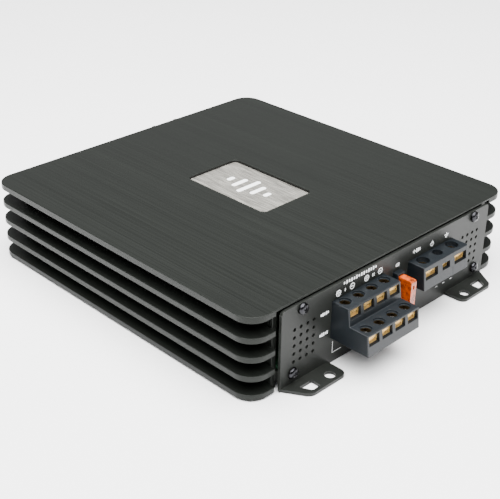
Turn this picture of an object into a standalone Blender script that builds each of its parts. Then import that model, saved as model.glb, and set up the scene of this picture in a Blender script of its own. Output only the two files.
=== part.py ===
"""Car amplifier: finned aluminium housing, end plates, screw terminals, blade fuse and level controls.

Metres. X runs across the fins, Y runs along them, Z is up. The output end faces -Y, the input end +Y.
The origin is the bottom centre of the whole object, on the surface that the feet stand on.
"""

import math

import bmesh
import bpy
from mathutils import Matrix, Vector

# Housing: an aluminium extrusion with its fins along Y.
BODY_WIDTH = 0.188
BODY_LENGTH = 0.194
BODY_BOTTOM = 0.0005
BODY_TOP = 0.0435
PLAN_CORNER = 0.010
FIN_ROOT = 0.079
FIN_PITCH = 0.00985
FIN_THICKNESS = 0.0029
LOWER_FINS = 4
TOP_STRIP = 0.00325
TOP_WALL = 0.003
SIDE_WALL = 0.003
RAIL_WIDTH = 0.010
RAIL_BOTTOM = 0.0044
RAIL_TOP = 0.0098
PORT_WIDTH = 0.0056
PORT_LOW = 0.0356
NOTCH_TOP = 0.0423
NOTCH_DEPTH = 0.0024
PORT_END = 0.0005
PILOT_RADIUS = 0.0015
PILOT_DEPTH = 0.0125
COVER_PILOT_RADIUS = 0.0014
COVER_PILOT_TOP = 0.0086

# How far the terminals and the input jacks reach past the housing's end faces.
OUTPUT_REACH = 0.0238
INPUT_REACH = 0.0140
BODY_CENTRE_Y = (OUTPUT_REACH - INPUT_REACH) / 2
OUTPUT = -1
INPUT = 1
END_Y = {
    OUTPUT: BODY_CENTRE_Y - BODY_LENGTH / 2,
    INPUT: BODY_CENTRE_Y + BODY_LENGTH / 2,
}

# End plates: bent steel sheet, with two mounting feet each.
SHEET = 0.0015
PLATE_FACE = 0.0013
PLATE_BACK = PLATE_FACE - SHEET
PLATE_HALF = 0.077
PLATE_TOP = 0.0415
PLATE_CORNER = 0.0015
FOOT_INNER = 0.0452
FOOT_REACH = 0.01335
FOOT_OUTER_NEAR = 0.0769
FOOT_OUTER_FAR = 0.0690
FOOT_HOLE = (0.0521, 0.0088)
FOOT_HOLE_RADIUS = 0.0026
FOOT_SLOT = ((0.0611, 0.0058), (0.0691, 0.0058), (0.0663, 0.0113), (0.0611, 0.0113))
SCREW_PLACES = ((0.0640, 0.0385), (0.0692, 0.0070))
SCREW_HOLE_RADIUS = 0.0017
PLATE_SCREW = (0.0029, 0.0012, 0.0105)
VENT_COLUMNS = 4
VENT_ROWS = 5
VENT_PITCH = 0.0042
VENT_NEAREST = 0.0560
VENT_LOWEST = 0.0125
VENT_RADIUS = 0.0010

# Bottom cover, circuit board and nameplate.
COVER_HALF = 0.0757
COVER_BOTTOM = 0.0026
COVER_SHEET = 0.0012
COVER_SCREW_X = 0.0725
COVER_SCREW_Y = 0.070
COVER_SCREW = (0.0024, 0.0011, 0.0052)
COVER_HOLE_RADIUS = 0.0016
BOARD_HALF = 0.0752
BOARD_BOTTOM = 0.0101
BOARD_THICKNESS = 0.0016
POCKET_SIZE = (0.0356, 0.0574)
POCKET_FLOOR = 0.0416
POCKET_CORNER = 0.0030
NAMEPLATE_THICKNESS = 0.0004

# Terminal blocks. A reach is measured outwards from the housing's end face.
SPEAKER_X = -0.02585
SPEAKER_PITCH = 0.00922
SPEAKER_POLES = 4
SPEAKER_WIDTH = 0.0369
POWER_X = 0.0289
POWER_PITCH = 0.0116
POWER_WIDTH = 0.0357
BLOCK_FLOOR = 0.0120
BLOCK_INSIDE = -0.0090
BLOCK_BEHIND = -0.0006
SPEAKER_BOTTOM = 0.0139
UPPER_TOP = 0.0335
LOWER_TOP = 0.0248
UPPER_FRONT = (0.0123, 0.01095)
UPPER_POLE = (0.0049, 0.0100)
LOWER_FRONT = (0.0238, 0.0225)
LOWER_POLE = (0.0177, 0.0214)
SPEAKER_CHAMBER = (0.0073, 0.0033)
SPEAKER_WELL = 0.00295
SPEAKER_WINDOW = (0.0057, 0.0011)
POWER_BOTTOM = 0.0202
POWER_TOP = 0.0326
POWER_FRONT = (0.0120, 0.0106)
POWER_POLE = (0.0052, 0.0094)
POWER_DEPTH = 0.0036
WIDE_POLE = (0.0098, 0.0034, (0.0255, 0.0302))
NARROW_POLE = (0.0062, 0.00275, (0.0258, 0.0294))
CLAMP_THICKNESS = 0.0008
TERMINAL_SCREW_HEIGHT = 0.0020

# Blade fuse and its holder.
FUSE_X = 0.0021
FUSE_HEIGHT = 0.0191
FUSE_CENTRE_Z = 0.02030
FUSE_THICKNESS = 0.0038
FUSE_REACH = 0.0120
FUSE_BASE = -0.0004
HOLDER_WIDTH = 0.0054
HOLDER_REACH = 0.0044
HOLDER_INSIDE = -0.0120
HOLDER_BOTTOM = FUSE_CENTRE_Z - FUSE_HEIGHT / 2 - 0.0011
HOLDER_TOP = FUSE_CENTRE_Z + FUSE_HEIGHT / 2 + 0.0013
BLADE_WIDTH = 0.0052
BLADE_SPACING = 0.0120
BLADE_THICKNESS = 0.00065
BLADE_END = -0.0075
BLADE_TIP = 0.0008
FUSE_WALL = 0.0026
FUSE_CAVITY = (0.0013, 0.0178)

# Input end: jacks, controls, switches and the power light.
JACK_X = (0.0440, 0.0270)
JACK_BODY = 0.0138
JACK_TOP = 0.0387
JACK_INSIDE = -0.0120
JACK_LEVELS = (0.0190, 0.0325)
JACK_RADIUS = 0.0042
JACK_BORE = 0.0020
JACK_FACE = 0.0026
KNOB_X = (0.0045, -0.0145, -0.0245, -0.0435)
KNOB_Z = 0.0270
KNOB_RADIUS = 0.0031
KNOB_REACH = 0.0043
KNOB_INSIDE = -0.0040
SWITCH_X = (-0.0050, -0.0340)
SWITCH_Z = 0.0270
# Half of the travel, half of the button's width and half of its height.
SWITCH_TRAVEL = 0.0025
SWITCH_HALF = 0.0016
SWITCH_TALL = 0.0017
SWITCH_REACH = 0.0036
SWITCH_INSIDE = -0.0040
LIGHT_X = 0.0125
LIGHT_Z = 0.0270
LIGHT_RADIUS = 0.0015

# The gap left between touching pieces, and how far a cutter runs past what it cuts.
GAP = 0.0003
THROUGH = 0.004
ABOVE = 0.060
BELOW = -0.010

PARTS = bpy.data.collections.new("car_amplifier")
CUTTERS = bpy.data.collections.new("cutters")


def clear_scene():
    for old in list(bpy.data.objects):
        bpy.data.objects.remove(old, do_unlink=True)


def material(name, color, roughness, metallic=0.0, alpha=1.0):
    made = bpy.data.materials.new(name)
    made.use_nodes = True
    shader = made.node_tree.nodes["Principled BSDF"]
    shader.inputs["Base Color"].default_value = (*color, 1.0)
    shader.inputs["Roughness"].default_value = roughness
    shader.inputs["Metallic"].default_value = metallic
    shader.inputs["Alpha"].default_value = alpha
    return made


def place(name, mesh, finish, location=(0, 0, 0)):
    """A named part in the object's own collection, with its origin at location."""
    part = bpy.data.objects.new(name, mesh)
    part.location = location
    if finish is None:
        part.hide_render = True
        part.display_type = "WIRE"
        CUTTERS.objects.link(part)
    else:
        mesh.materials.clear()
        mesh.materials.append(finish)
        PARTS.objects.link(part)
    return part


def mesh_from(shape, name):
    bmesh.ops.recalc_face_normals(shape, faces=shape.faces[:])
    mesh = bpy.data.meshes.new(name)
    shape.to_mesh(mesh)
    shape.free()
    return mesh


def smooth(part, angle=35):
    part.data.shade_smooth()
    part.data.set_sharp_from_angle(angle=math.radians(angle))
    return part


def add_box(shape, low, high):
    low, high = Vector(low), Vector(high)
    made = bmesh.ops.create_cube(shape, size=1.0)
    bmesh.ops.scale(shape, vec=high - low, verts=made["verts"])
    bmesh.ops.translate(shape, vec=(high + low) / 2, verts=made["verts"])


def add_cylinder(shape, start, end, radius, sides=16):
    start, end = Vector(start), Vector(end)
    turn = Vector((0, 0, 1)).rotation_difference(end - start).to_matrix().to_4x4()
    bmesh.ops.create_cone(
        shape,
        cap_ends=True,
        segments=sides,
        radius1=radius,
        radius2=radius,
        depth=(end - start).length,
        matrix=Matrix.Translation((start + end) / 2) @ turn,
    )


def add_prism(shape, outline, axis, low, high):
    """Extrudes a flat outline along an axis. The outline holds the other two coordinates in order."""
    corners = []
    for first, second in outline:
        point = [first, second]
        point.insert("XYZ".index(axis), low)
        corners.append(shape.verts.new(point))
    face = shape.faces.new(corners)
    grown = bmesh.ops.extrude_face_region(shape, geom=[face])
    moved = [item for item in grown["geom"] if isinstance(item, bmesh.types.BMVert)]
    step = Vector((0, 0, 0))
    step["XYZ".index(axis)] = high - low
    bmesh.ops.translate(shape, vec=step, verts=moved)


def rounded(outline, radii, segments=4):
    """The outline with each corner turned into an arc of its own radius."""
    result = []
    for index, corner in enumerate(outline):
        here = Vector(corner)
        before = (Vector(outline[index - 1]) - here).normalized()
        after = (Vector(outline[(index + 1) % len(outline)]) - here).normalized()
        radius = radii[index] if isinstance(radii, (list, tuple)) else radii
        if radius == 0:
            result.append(tuple(here))
            continue
        half = before.angle(after) / 2
        reach = radius / math.tan(half)
        centre = here + (before + after).normalized() * radius / math.sin(half)
        start = here + before * reach - centre
        sweep = start.angle_signed(here + after * reach - centre)
        for step in range(segments + 1):
            turned = start.copy()
            turned.rotate(Matrix.Rotation(-sweep * step / segments, 2))
            result.append(tuple(centre + turned))
    return result


def rectangle(low, high):
    return [(low[0], low[1]), (high[0], low[1]), (high[0], high[1]), (low[0], high[1])]


def solid(name, finish, boxes=(), cylinders=(), prisms=(), location=(0, 0, 0)):
    """One object from any number of boxes, cylinders and prisms. A cutter has no finish."""
    shape = bmesh.new()
    for low, high in boxes:
        add_box(shape, low, high)
    for start, end, radius, sides in cylinders:
        add_cylinder(shape, start, end, radius, sides)
    for outline, axis, low, high in prisms:
        add_prism(shape, outline, axis, low, high)
    bmesh.ops.translate(shape, vec=-Vector(location), verts=shape.verts[:])
    return place(name, mesh_from(shape, name), finish, location)


def combine(part, tool, operation="DIFFERENCE"):
    step = part.modifiers.new(tool.name, "BOOLEAN")
    step.operation = operation
    step.solver = "EXACT"
    step.object = tool


def lathe(name, profile, finish, location, steps=20, tilt=None):
    """A turned piece: profile points are (radius, height), down the outer side, about the local Z axis."""
    shape = bmesh.new()
    verts = [shape.verts.new((radius, 0, height)) for radius, height in profile]
    for first, second in zip(verts, verts[1:]):
        shape.edges.new((first, second))
    mesh = bpy.data.meshes.new(name)
    shape.to_mesh(mesh)
    shape.free()
    part = place(name, mesh, finish, location)
    spin = part.modifiers.new("turn", "SCREW")
    spin.steps = steps
    spin.render_steps = steps
    spin.use_merge_vertices = True
    spin.merge_threshold = 0.00001
    if tilt:
        part.rotation_euler = tilt
    return part


def end_y(end, reach):
    """World Y of a point that stands out of an end face by reach."""
    return END_Y[end] + end * reach


def span(end, reach_a, reach_b):
    """World Y of two reaches, lowest first."""
    return sorted((end_y(end, reach_a), end_y(end, reach_b)))


def end_box(end, x_low, x_high, reach_a, reach_b, z_low, z_high):
    near, far = span(end, reach_a, reach_b)
    return (x_low, near, z_low), (x_high, far, z_high)


def end_profile(end, points):
    """(reach, height) points turned into (y, z) points for a prism along X."""
    return [(end_y(end, reach), height) for reach, height in points]


# Housing


def fin_steps():
    """Outer side of the section, from the top strip down to the lowest fin."""
    half = BODY_WIDTH / 2
    points = [(half, BODY_TOP), (half, BODY_TOP - TOP_STRIP), (FIN_ROOT, BODY_TOP - TOP_STRIP)]
    for index in reversed(range(LOWER_FINS)):
        low = BODY_BOTTOM + index * FIN_PITCH
        high = low + FIN_THICKNESS
        points += [(FIN_ROOT, high), (half, high), (half, low), (FIN_ROOT, low)]
    return points[:-1]


def housing_section():
    """Cross-section of the extrusion: walls, fins, bottom rails and the upper screw ports."""
    inner = FIN_ROOT - SIDE_WALL
    ceiling = BODY_TOP - TOP_WALL
    port = SCREW_PLACES[0][0]
    right = fin_steps()
    right += [
        (inner, BODY_BOTTOM),
        (inner, RAIL_BOTTOM),
        (inner - RAIL_WIDTH, RAIL_BOTTOM),
        (inner - RAIL_WIDTH, RAIL_TOP),
        (inner, RAIL_TOP),
        (inner, ceiling),
        (port + PORT_WIDTH / 2, ceiling),
        (port + PORT_WIDTH / 2, PORT_LOW),
        (port - PORT_WIDTH / 2, PORT_LOW),
        (port - PORT_WIDTH / 2, ceiling),
    ]
    left = [(-x, z) for x, z in reversed(right)]
    return right + left


def make_housing(finish):
    part = solid(
        "heatsink_housing",
        finish,
        prisms=[(housing_section(), "Y", END_Y[OUTPUT], END_Y[INPUT])],
    )
    half = BODY_WIDTH / 2
    plan = rounded(rectangle((-half, END_Y[OUTPUT]), (half, END_Y[INPUT])), PLAN_CORNER, 6)
    combine(part, solid("plan_outline", None, prisms=[(plan, "Z", BELOW, ABOVE)]), "INTERSECT")
    combine(part, make_notches())
    pocket = rounded(
        rectangle(
            (-POCKET_SIZE[0] / 2, BODY_CENTRE_Y - POCKET_SIZE[1] / 2),
            (POCKET_SIZE[0] / 2, BODY_CENTRE_Y + POCKET_SIZE[1] / 2),
        ),
        POCKET_CORNER,
        3,
    )
    combine(part, solid("nameplate_pocket", None, prisms=[(pocket, "Z", POCKET_FLOOR, ABOVE)]))
    drills = []
    for end in (OUTPUT, INPUT):
        for x, z in SCREW_PLACES:
            for side in (-1, 1):
                start = (side * x, end_y(end, THROUGH), z)
                stop = (side * x, end_y(end, -PILOT_DEPTH), z)
                drills.append((start, stop, PILOT_RADIUS, 12))
    for x in (-COVER_SCREW_X, COVER_SCREW_X):
        for y in (-COVER_SCREW_Y, COVER_SCREW_Y):
            y += BODY_CENTRE_Y
            drills.append(((x, y, BODY_BOTTOM), (x, y, COVER_PILOT_TOP), COVER_PILOT_RADIUS, 12))
    combine(part, solid("housing_drills", None, cylinders=drills))
    return part


def make_notches():
    """Cuts the ends back for the end plates, but for the screw ports that the plates rest on."""
    boxes = []
    rail_inner = FIN_ROOT - SIDE_WALL - RAIL_WIDTH
    port = SCREW_PLACES[0][0]
    for end in (OUTPUT, INPUT):
        boxes.append(end_box(end, -FIN_ROOT, FIN_ROOT, THROUGH, -NOTCH_DEPTH, BELOW, NOTCH_TOP))
    notches = solid("end_notches", None, boxes=boxes)
    keeps = []
    for end in (OUTPUT, INPUT):
        for side in (-1, 1):
            for low, high, bottom, top in (
                (port - PORT_WIDTH / 2, port + PORT_WIDTH / 2, PORT_LOW - 0.001, NOTCH_TOP - 0.0011),
                (rail_inner - 0.001, rail_inner + 0.0065, RAIL_BOTTOM - 0.001, RAIL_TOP + 0.001),
            ):
                low_x, high_x = sorted((side * low, side * high))
                keeps.append(end_box(end, low_x, high_x, -PORT_END, -0.004, bottom, top))
    combine(notches, solid("port_keeps", None, boxes=keeps))
    return notches


def make_bottom_cover(finish):
    near = end_y(OUTPUT, -NOTCH_DEPTH - GAP)
    far = end_y(INPUT, -NOTCH_DEPTH - GAP)
    top = COVER_BOTTOM + COVER_SHEET
    part = solid(
        "bottom_cover",
        finish,
        boxes=[((-COVER_HALF, near, COVER_BOTTOM), (COVER_HALF, far, top))],
    )
    holes = []
    for x in (-COVER_SCREW_X, COVER_SCREW_X):
        for y in (-COVER_SCREW_Y, COVER_SCREW_Y):
            y += BODY_CENTRE_Y
            holes.append(((x, y, 0), (x, y, top + THROUGH), COVER_HOLE_RADIUS, 12))
    combine(part, solid("cover_holes", None, cylinders=holes))
    return part


def make_nameplate(finish):
    margin = GAP
    low = (-POCKET_SIZE[0] / 2 + margin, BODY_CENTRE_Y - POCKET_SIZE[1] / 2 + margin)
    high = (POCKET_SIZE[0] / 2 - margin, BODY_CENTRE_Y + POCKET_SIZE[1] / 2 - margin)
    outline = rounded(rectangle(low, high), POCKET_CORNER - margin, 3)
    floor = POCKET_FLOOR + GAP
    return solid("nameplate", finish, prisms=[(outline, "Z", floor, floor + NAMEPLATE_THICKNESS)])


# End plates


def foot_outline(end, side):
    points = [
        (FOOT_INNER, PLATE_BACK + 0.0002),
        (FOOT_INNER, FOOT_REACH),
        (FOOT_OUTER_FAR, FOOT_REACH),
        (FOOT_OUTER_NEAR, PLATE_FACE),
        (FOOT_OUTER_NEAR, PLATE_BACK + 0.0002),
    ]
    return [(side * x, end_y(end, reach)) for x, reach in rounded(points, [0, 0.0035, 0.0025, 0, 0])]


def foot_slot(end, side):
    return [(side * x, end_y(end, reach)) for x, reach in rounded(FOOT_SLOT, 0.0006, 2)]


def through(end, x, z, radius, sides):
    """A drill straight through an end plate."""
    return (x, end_y(end, THROUGH), z), (x, end_y(end, -THROUGH), z), radius, sides


def vent_drills(end):
    drills = []
    for side in (-1, 1):
        for column in range(VENT_COLUMNS):
            for row in range(VENT_ROWS):
                x = side * (VENT_NEAREST + column * VENT_PITCH)
                z = VENT_LOWEST + row * VENT_PITCH
                drills.append(through(end, x, z, VENT_RADIUS, 6))
    return drills


def make_end_plate(name, end, finish, windows, holes):
    """A sheet with rounded top corners and two feet. Windows are boxes, holes are (x, z, radius)."""
    near, far = span(end, PLATE_FACE, PLATE_BACK)
    outline = rounded(
        rectangle((-PLATE_HALF, 0.0), (PLATE_HALF, PLATE_TOP)),
        [0.0004, 0.0004, PLATE_CORNER, PLATE_CORNER],
    )
    part = solid(name, finish, prisms=[(outline, "Y", near, far)])
    for side in (-1, 1):
        flat = (foot_outline(end, side), "Z", 0.0, SHEET)
        combine(part, solid(f"{name}_foot_{side}", None, prisms=[flat]), "UNION")
    slots = [(foot_slot(end, side), "Z", BELOW, THROUGH) for side in (-1, 1)]
    combine(part, solid(f"{name}_foot_slots", None, prisms=slots))
    drills = vent_drills(end)
    for side in (-1, 1):
        x, y = side * FOOT_HOLE[0], end_y(end, FOOT_HOLE[1])
        drills.append(((x, y, BELOW), (x, y, THROUGH), FOOT_HOLE_RADIUS, 16))
        for x, z in SCREW_PLACES:
            drills.append(through(end, side * x, z, SCREW_HOLE_RADIUS, 12))
    for x, z, radius in holes:
        drills.append(through(end, x, z, radius, 16))
    combine(part, solid(f"{name}_drills", None, cylinders=drills))
    boxes = []
    for low_x, high_x, low_z, high_z in windows:
        boxes.append(end_box(end, low_x, high_x, THROUGH, -THROUGH, low_z, high_z))
    combine(part, solid(f"{name}_windows", None, boxes=boxes))
    return part


def pan_head_screw(name, location, tilt, finish, head, shank, length):
    """A pan-head machine screw with a cross recess. Its local +Z points out of the head."""
    height = head * 0.62
    profile = [
        (0, height),
        (head * 0.55, height * 0.93),
        (head * 0.86, height * 0.62),
        (head, height * 0.18),
        (head, 0),
        (shank, 0),
        (shank, -length),
        (0, -length),
    ]
    part = lathe(name, profile, finish, location, 12, tilt)
    arm, depth = head * 0.52, height * 0.55
    slot = head * 0.11
    cross = solid(
        f"{name}_recess",
        None,
        boxes=[((-arm, -slot, height - depth), (arm, slot, height + 0.001))],
    )
    other = solid(
        f"{name}_recess_across",
        None,
        boxes=[((-slot, -arm, height - depth), (slot, arm, height + 0.001))],
    )
    for tool in (cross, other):
        tool.location = location
        tool.rotation_euler = tilt
        combine(part, tool)
    return smooth(part)


def make_plate_screws(finish):
    places = (("upper", SCREW_PLACES[0]), ("lower", SCREW_PLACES[1]))
    for end, label in ((OUTPUT, "output"), (INPUT, "input")):
        tilt = (math.radians(90 if end == OUTPUT else -90), 0, 0)
        for side, hand in ((-1, "left"), (1, "right")):
            for level, (x, z) in places:
                location = (side * x, end_y(end, PLATE_FACE + GAP), z)
                name = f"{label}_plate_screw_{level}_{hand}"
                pan_head_screw(name, location, tilt, finish, *PLATE_SCREW)


def make_cover_screws(finish):
    tilt = (math.radians(180), 0, 0)
    for row, y in (("front", -COVER_SCREW_Y), ("rear", COVER_SCREW_Y)):
        for hand, x in (("left", -COVER_SCREW_X), ("right", COVER_SCREW_X)):
            location = (x, y + BODY_CENTRE_Y, COVER_BOTTOM - GAP)
            pan_head_screw(f"cover_screw_{row}_{hand}", location, tilt, finish, *COVER_SCREW)


# Terminals


def pole(name, x, reach, top, width, well, window, front, depth):
    """One terminal: its well, its wire window and the wall in front of its chamber."""
    return {
        "name": name,
        "x": x,
        "reach": reach,
        "top": top,
        "half": width / 2,
        "well": well,
        "window": window,
        "front": front,
        "depth": depth,
    }


def speaker_poles():
    poles = []
    width, depth = SPEAKER_CHAMBER
    for tier, top, place_at in (("upper", UPPER_TOP, UPPER_POLE), ("lower", LOWER_TOP, LOWER_POLE)):
        reach, front = place_at
        window = (top - SPEAKER_WINDOW[0], top - SPEAKER_WINDOW[1])
        for index in range(SPEAKER_POLES):
            x = SPEAKER_X + (index - (SPEAKER_POLES - 1) / 2) * SPEAKER_PITCH
            name = f"{tier}_{index + 1}"
            poles.append(pole(name, x, reach, top, width, SPEAKER_WELL, window, front, depth))
    return poles


def power_poles():
    poles = []
    reach, front = POWER_POLE
    kinds = (("supply", WIDE_POLE), ("remote", NARROW_POLE), ("ground", WIDE_POLE))
    for index, (name, (width, well, window)) in enumerate(kinds):
        x = POWER_X + (index - 1) * POWER_PITCH
        poles.append(pole(name, x, reach, POWER_TOP, width, well, window, front, POWER_DEPTH))
    return poles


def chamber_floor(item):
    return item["window"][0] - 0.0006


def make_block(name, profile, centre, width, poles, finish):
    low, high = centre - width / 2, centre + width / 2
    part = solid(name, finish, prisms=[(end_profile(OUTPUT, profile), "X", low, high)])
    chambers, windows, wells = [], [], []
    for item in poles:
        left, right = item["x"] - item["half"], item["x"] + item["half"]
        back = item["reach"] - item["depth"]
        floor, roof = chamber_floor(item), item["window"][1] - 0.0002
        chambers.append(end_box(OUTPUT, left, right, back, item["front"], floor, roof))
        out = item["front"] + 0.004
        windows.append(
            end_box(OUTPUT, left + 0.0001, right - 0.0001, item["front"] - 0.001, out, *item["window"])
        )
        y = end_y(OUTPUT, item["reach"])
        wells.append(((item["x"], y, roof - 0.001), (item["x"], y, item["top"] + 0.001), item["well"], 16))
    combine(part, solid(f"{name}_chambers", None, boxes=chambers))
    combine(part, solid(f"{name}_windows", None, boxes=windows))
    combine(part, solid(f"{name}_wells", None, cylinders=wells))
    return part


def make_speaker_block(finish):
    profile = [
        (BLOCK_INSIDE, BLOCK_FLOOR),
        (BLOCK_BEHIND, BLOCK_FLOOR),
        (BLOCK_BEHIND, SPEAKER_BOTTOM),
        (LOWER_FRONT[0], SPEAKER_BOTTOM),
        (LOWER_FRONT[1], LOWER_TOP),
        (UPPER_FRONT[0], LOWER_TOP),
        (UPPER_FRONT[1], UPPER_TOP),
        (BLOCK_INSIDE, UPPER_TOP),
    ]
    name = "speaker_terminal_block"
    return make_block(name, profile, SPEAKER_X, SPEAKER_WIDTH, speaker_poles(), finish)


def make_power_block(finish):
    profile = [
        (BLOCK_INSIDE, BLOCK_FLOOR),
        (BLOCK_BEHIND, BLOCK_FLOOR),
        (BLOCK_BEHIND, POWER_BOTTOM),
        (POWER_FRONT[0], POWER_BOTTOM),
        (POWER_FRONT[1], POWER_TOP),
        (BLOCK_INSIDE, POWER_TOP),
    ]
    return make_block("power_terminal_block", profile, POWER_X, POWER_WIDTH, power_poles(), finish)


def make_clamp(item, finish):
    """The brass plate that the screw presses on the wire, with a lip turned up at its front."""
    low = chamber_floor(item) + 0.0004
    high = low + CLAMP_THICKNESS
    half = item["half"] - 0.0006
    back = item["reach"] - item["depth"] + 0.0005
    front = item["front"] - 0.0006
    lip = high + 0.0006
    profile = [
        (back, low),
        (front, low),
        (front, lip),
        (front - CLAMP_THICKNESS, lip),
        (front - CLAMP_THICKNESS, high),
        (back, high),
    ]
    prism = (end_profile(OUTPUT, profile), "X", item["x"] - half, item["x"] + half)
    return solid(f"wire_clamp_{item['name']}", finish, prisms=[prism])


def make_terminal_screw(item, finish):
    """A slotted screw that stands on its clamp plate. Its origin is on its own axis."""
    base = chamber_floor(item) + 0.0004 + CLAMP_THICKNESS + 0.0002
    location = (item["x"], end_y(OUTPUT, item["reach"]), base)
    head = item["well"] - 0.00045
    tall = TERMINAL_SCREW_HEIGHT
    profile = [
        (0, tall),
        (head - 0.0003, tall),
        (head, tall - 0.0003),
        (head, 0.0007),
        (head * 0.7, 0.0005),
        (head * 0.7, 0),
        (0, 0),
    ]
    part = lathe(f"terminal_screw_{item['name']}", profile, finish, location, 12)
    slot = solid(
        f"terminal_screw_{item['name']}_slot",
        None,
        boxes=[((-0.004, -0.0004, tall - 0.0008), (0.004, 0.0004, tall + 0.001))],
    )
    slot.location = location
    combine(part, slot)
    return smooth(part)


# Fuse


def make_fuse_holder(finish):
    low, high = FUSE_X - HOLDER_WIDTH / 2, FUSE_X + HOLDER_WIDTH / 2
    body = end_box(OUTPUT, low, high, HOLDER_INSIDE, HOLDER_REACH, HOLDER_BOTTOM, HOLDER_TOP)
    part = solid("fuse_holder", finish, boxes=[body])
    low, high = FUSE_X - FUSE_THICKNESS / 2 - GAP, FUSE_X + FUSE_THICKNESS / 2 + GAP
    bottom, top = FUSE_CENTRE_Z - FUSE_HEIGHT / 2 - GAP, FUSE_CENTRE_Z + FUSE_HEIGHT / 2 + GAP
    socket = end_box(OUTPUT, low, high, FUSE_BASE - GAP, HOLDER_REACH + THROUGH, bottom, top)
    combine(part, solid("fuse_socket", None, boxes=[socket]))
    low, high = FUSE_X - BLADE_THICKNESS, FUSE_X + BLADE_THICKNESS
    contacts = []
    for side in (-1, 1):
        centre = FUSE_CENTRE_Z + side * BLADE_SPACING / 2
        bottom, top = centre - BLADE_WIDTH / 2 - GAP, centre + BLADE_WIDTH / 2 + GAP
        contacts.append(end_box(OUTPUT, low, high, BLADE_END - 2 * GAP, 0.0, bottom, top))
    combine(part, solid("fuse_contact_slots", None, boxes=contacts))
    return part


def make_fuse(plastic, metal):
    half = FUSE_HEIGHT / 2
    outline = rounded(
        [
            (FUSE_BASE, FUSE_CENTRE_Z - half),
            (FUSE_REACH, FUSE_CENTRE_Z - half),
            (FUSE_REACH, FUSE_CENTRE_Z + half),
            (FUSE_BASE, FUSE_CENTRE_Z + half),
        ],
        [0, 0.0012, 0.0012, 0],
        3,
    )
    low, high = FUSE_X - FUSE_THICKNESS / 2, FUSE_X + FUSE_THICKNESS / 2
    shell = (end_profile(OUTPUT, outline), "X", low, high)
    body = solid("blade_fuse_body", plastic, prisms=[shell])
    low, high = FUSE_X - FUSE_CAVITY[0] / 2, FUSE_X + FUSE_CAVITY[0] / 2
    bottom, top = FUSE_CENTRE_Z - FUSE_CAVITY[1] / 2, FUSE_CENTRE_Z + FUSE_CAVITY[1] / 2
    cavity = end_box(OUTPUT, low, high, FUSE_BASE - THROUGH, FUSE_REACH - FUSE_WALL, bottom, top)
    combine(body, solid("blade_fuse_cavity", None, boxes=[cavity]))
    inner, outer = BLADE_SPACING / 2 - BLADE_WIDTH / 2, BLADE_SPACING / 2 + BLADE_WIDTH / 2
    tip = BLADE_TIP
    right = [
        (BLADE_END, inner + tip),
        (BLADE_END, outer - tip),
        (BLADE_END + tip, outer),
        (0.0086, outer),
        (0.0086, inner),
        (0.0062, inner),
    ]
    left = [
        (0.0046, -inner),
        (0.0086, -inner),
        (0.0086, -outer),
        (BLADE_END + tip, -outer),
        (BLADE_END, -outer + tip),
        (BLADE_END, -inner - tip),
        (BLADE_END + tip, -inner),
        (0.0030, -inner),
    ]
    right_back = [(0.0046, inner), (BLADE_END + tip, inner)]
    outline = [(reach, FUSE_CENTRE_Z + height) for reach, height in right + left + right_back]
    low, high = FUSE_X - BLADE_THICKNESS / 2, FUSE_X + BLADE_THICKNESS / 2
    solid("blade_fuse_element", metal, prisms=[(end_profile(OUTPUT, outline), "X", low, high)])


# Circuit board and what stands on it


def make_board(finish):
    edge = -0.0012
    near, far = end_y(OUTPUT, edge), end_y(INPUT, edge)
    sheet = ((-BOARD_HALF, near, BOARD_BOTTOM), (BOARD_HALF, far, BOARD_BOTTOM + BOARD_THICKNESS))
    part = solid("circuit_board", finish, boxes=[sheet])
    half = HOLDER_WIDTH / 2 + GAP
    top = BOARD_BOTTOM + BOARD_THICKNESS + THROUGH
    bay = end_box(OUTPUT, FUSE_X - half, FUSE_X + half, THROUGH, HOLDER_INSIDE - GAP, 0.0, top)
    combine(part, solid("board_fuse_bay", None, boxes=[bay]))
    return part


def make_internals(winding, sleeve, bar):
    base = BOARD_BOTTOM + BOARD_THICKNESS + GAP
    radius, tube, steps = 0.0115, 0.0060, 6
    ring = []
    for step in range(steps + 1):
        angle = math.radians(90 - 360 * step / steps)
        ring.append((radius + tube * math.cos(angle), tube * math.sin(angle)))
    part = lathe("toroid_transformer", ring, winding, (0.030, BODY_CENTRE_Y - 0.045, base + tube), 18)
    smooth(part)
    for index, x in enumerate((-0.035, -0.012)):
        profile = [(0, 0.0215), (0.0084, 0.0215), (0.0090, 0.0208), (0.0090, 0.0004), (0.0086, 0), (0, 0)]
        place_at = (x, BODY_CENTRE_Y - 0.045, base)
        smooth(lathe(f"filter_capacitor_{index + 1}", profile, sleeve, place_at, 20))
    inner = FIN_ROOT - SIDE_WALL
    for hand, side in (("left", -1), ("right", 1)):
        outline = [
            (side * (inner - GAP), 0.0130),
            (side * (inner - 0.0050), 0.0130),
            (side * (inner - 0.0050), 0.0300),
            (side * (inner - 0.0035), 0.0325),
            (side * (inner - GAP), 0.0325),
        ]
        y = BODY_CENTRE_Y
        solid(f"transistor_clamp_{hand}", bar, prisms=[(outline, "Y", y - 0.060, y + 0.060)])


# Input end


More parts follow.
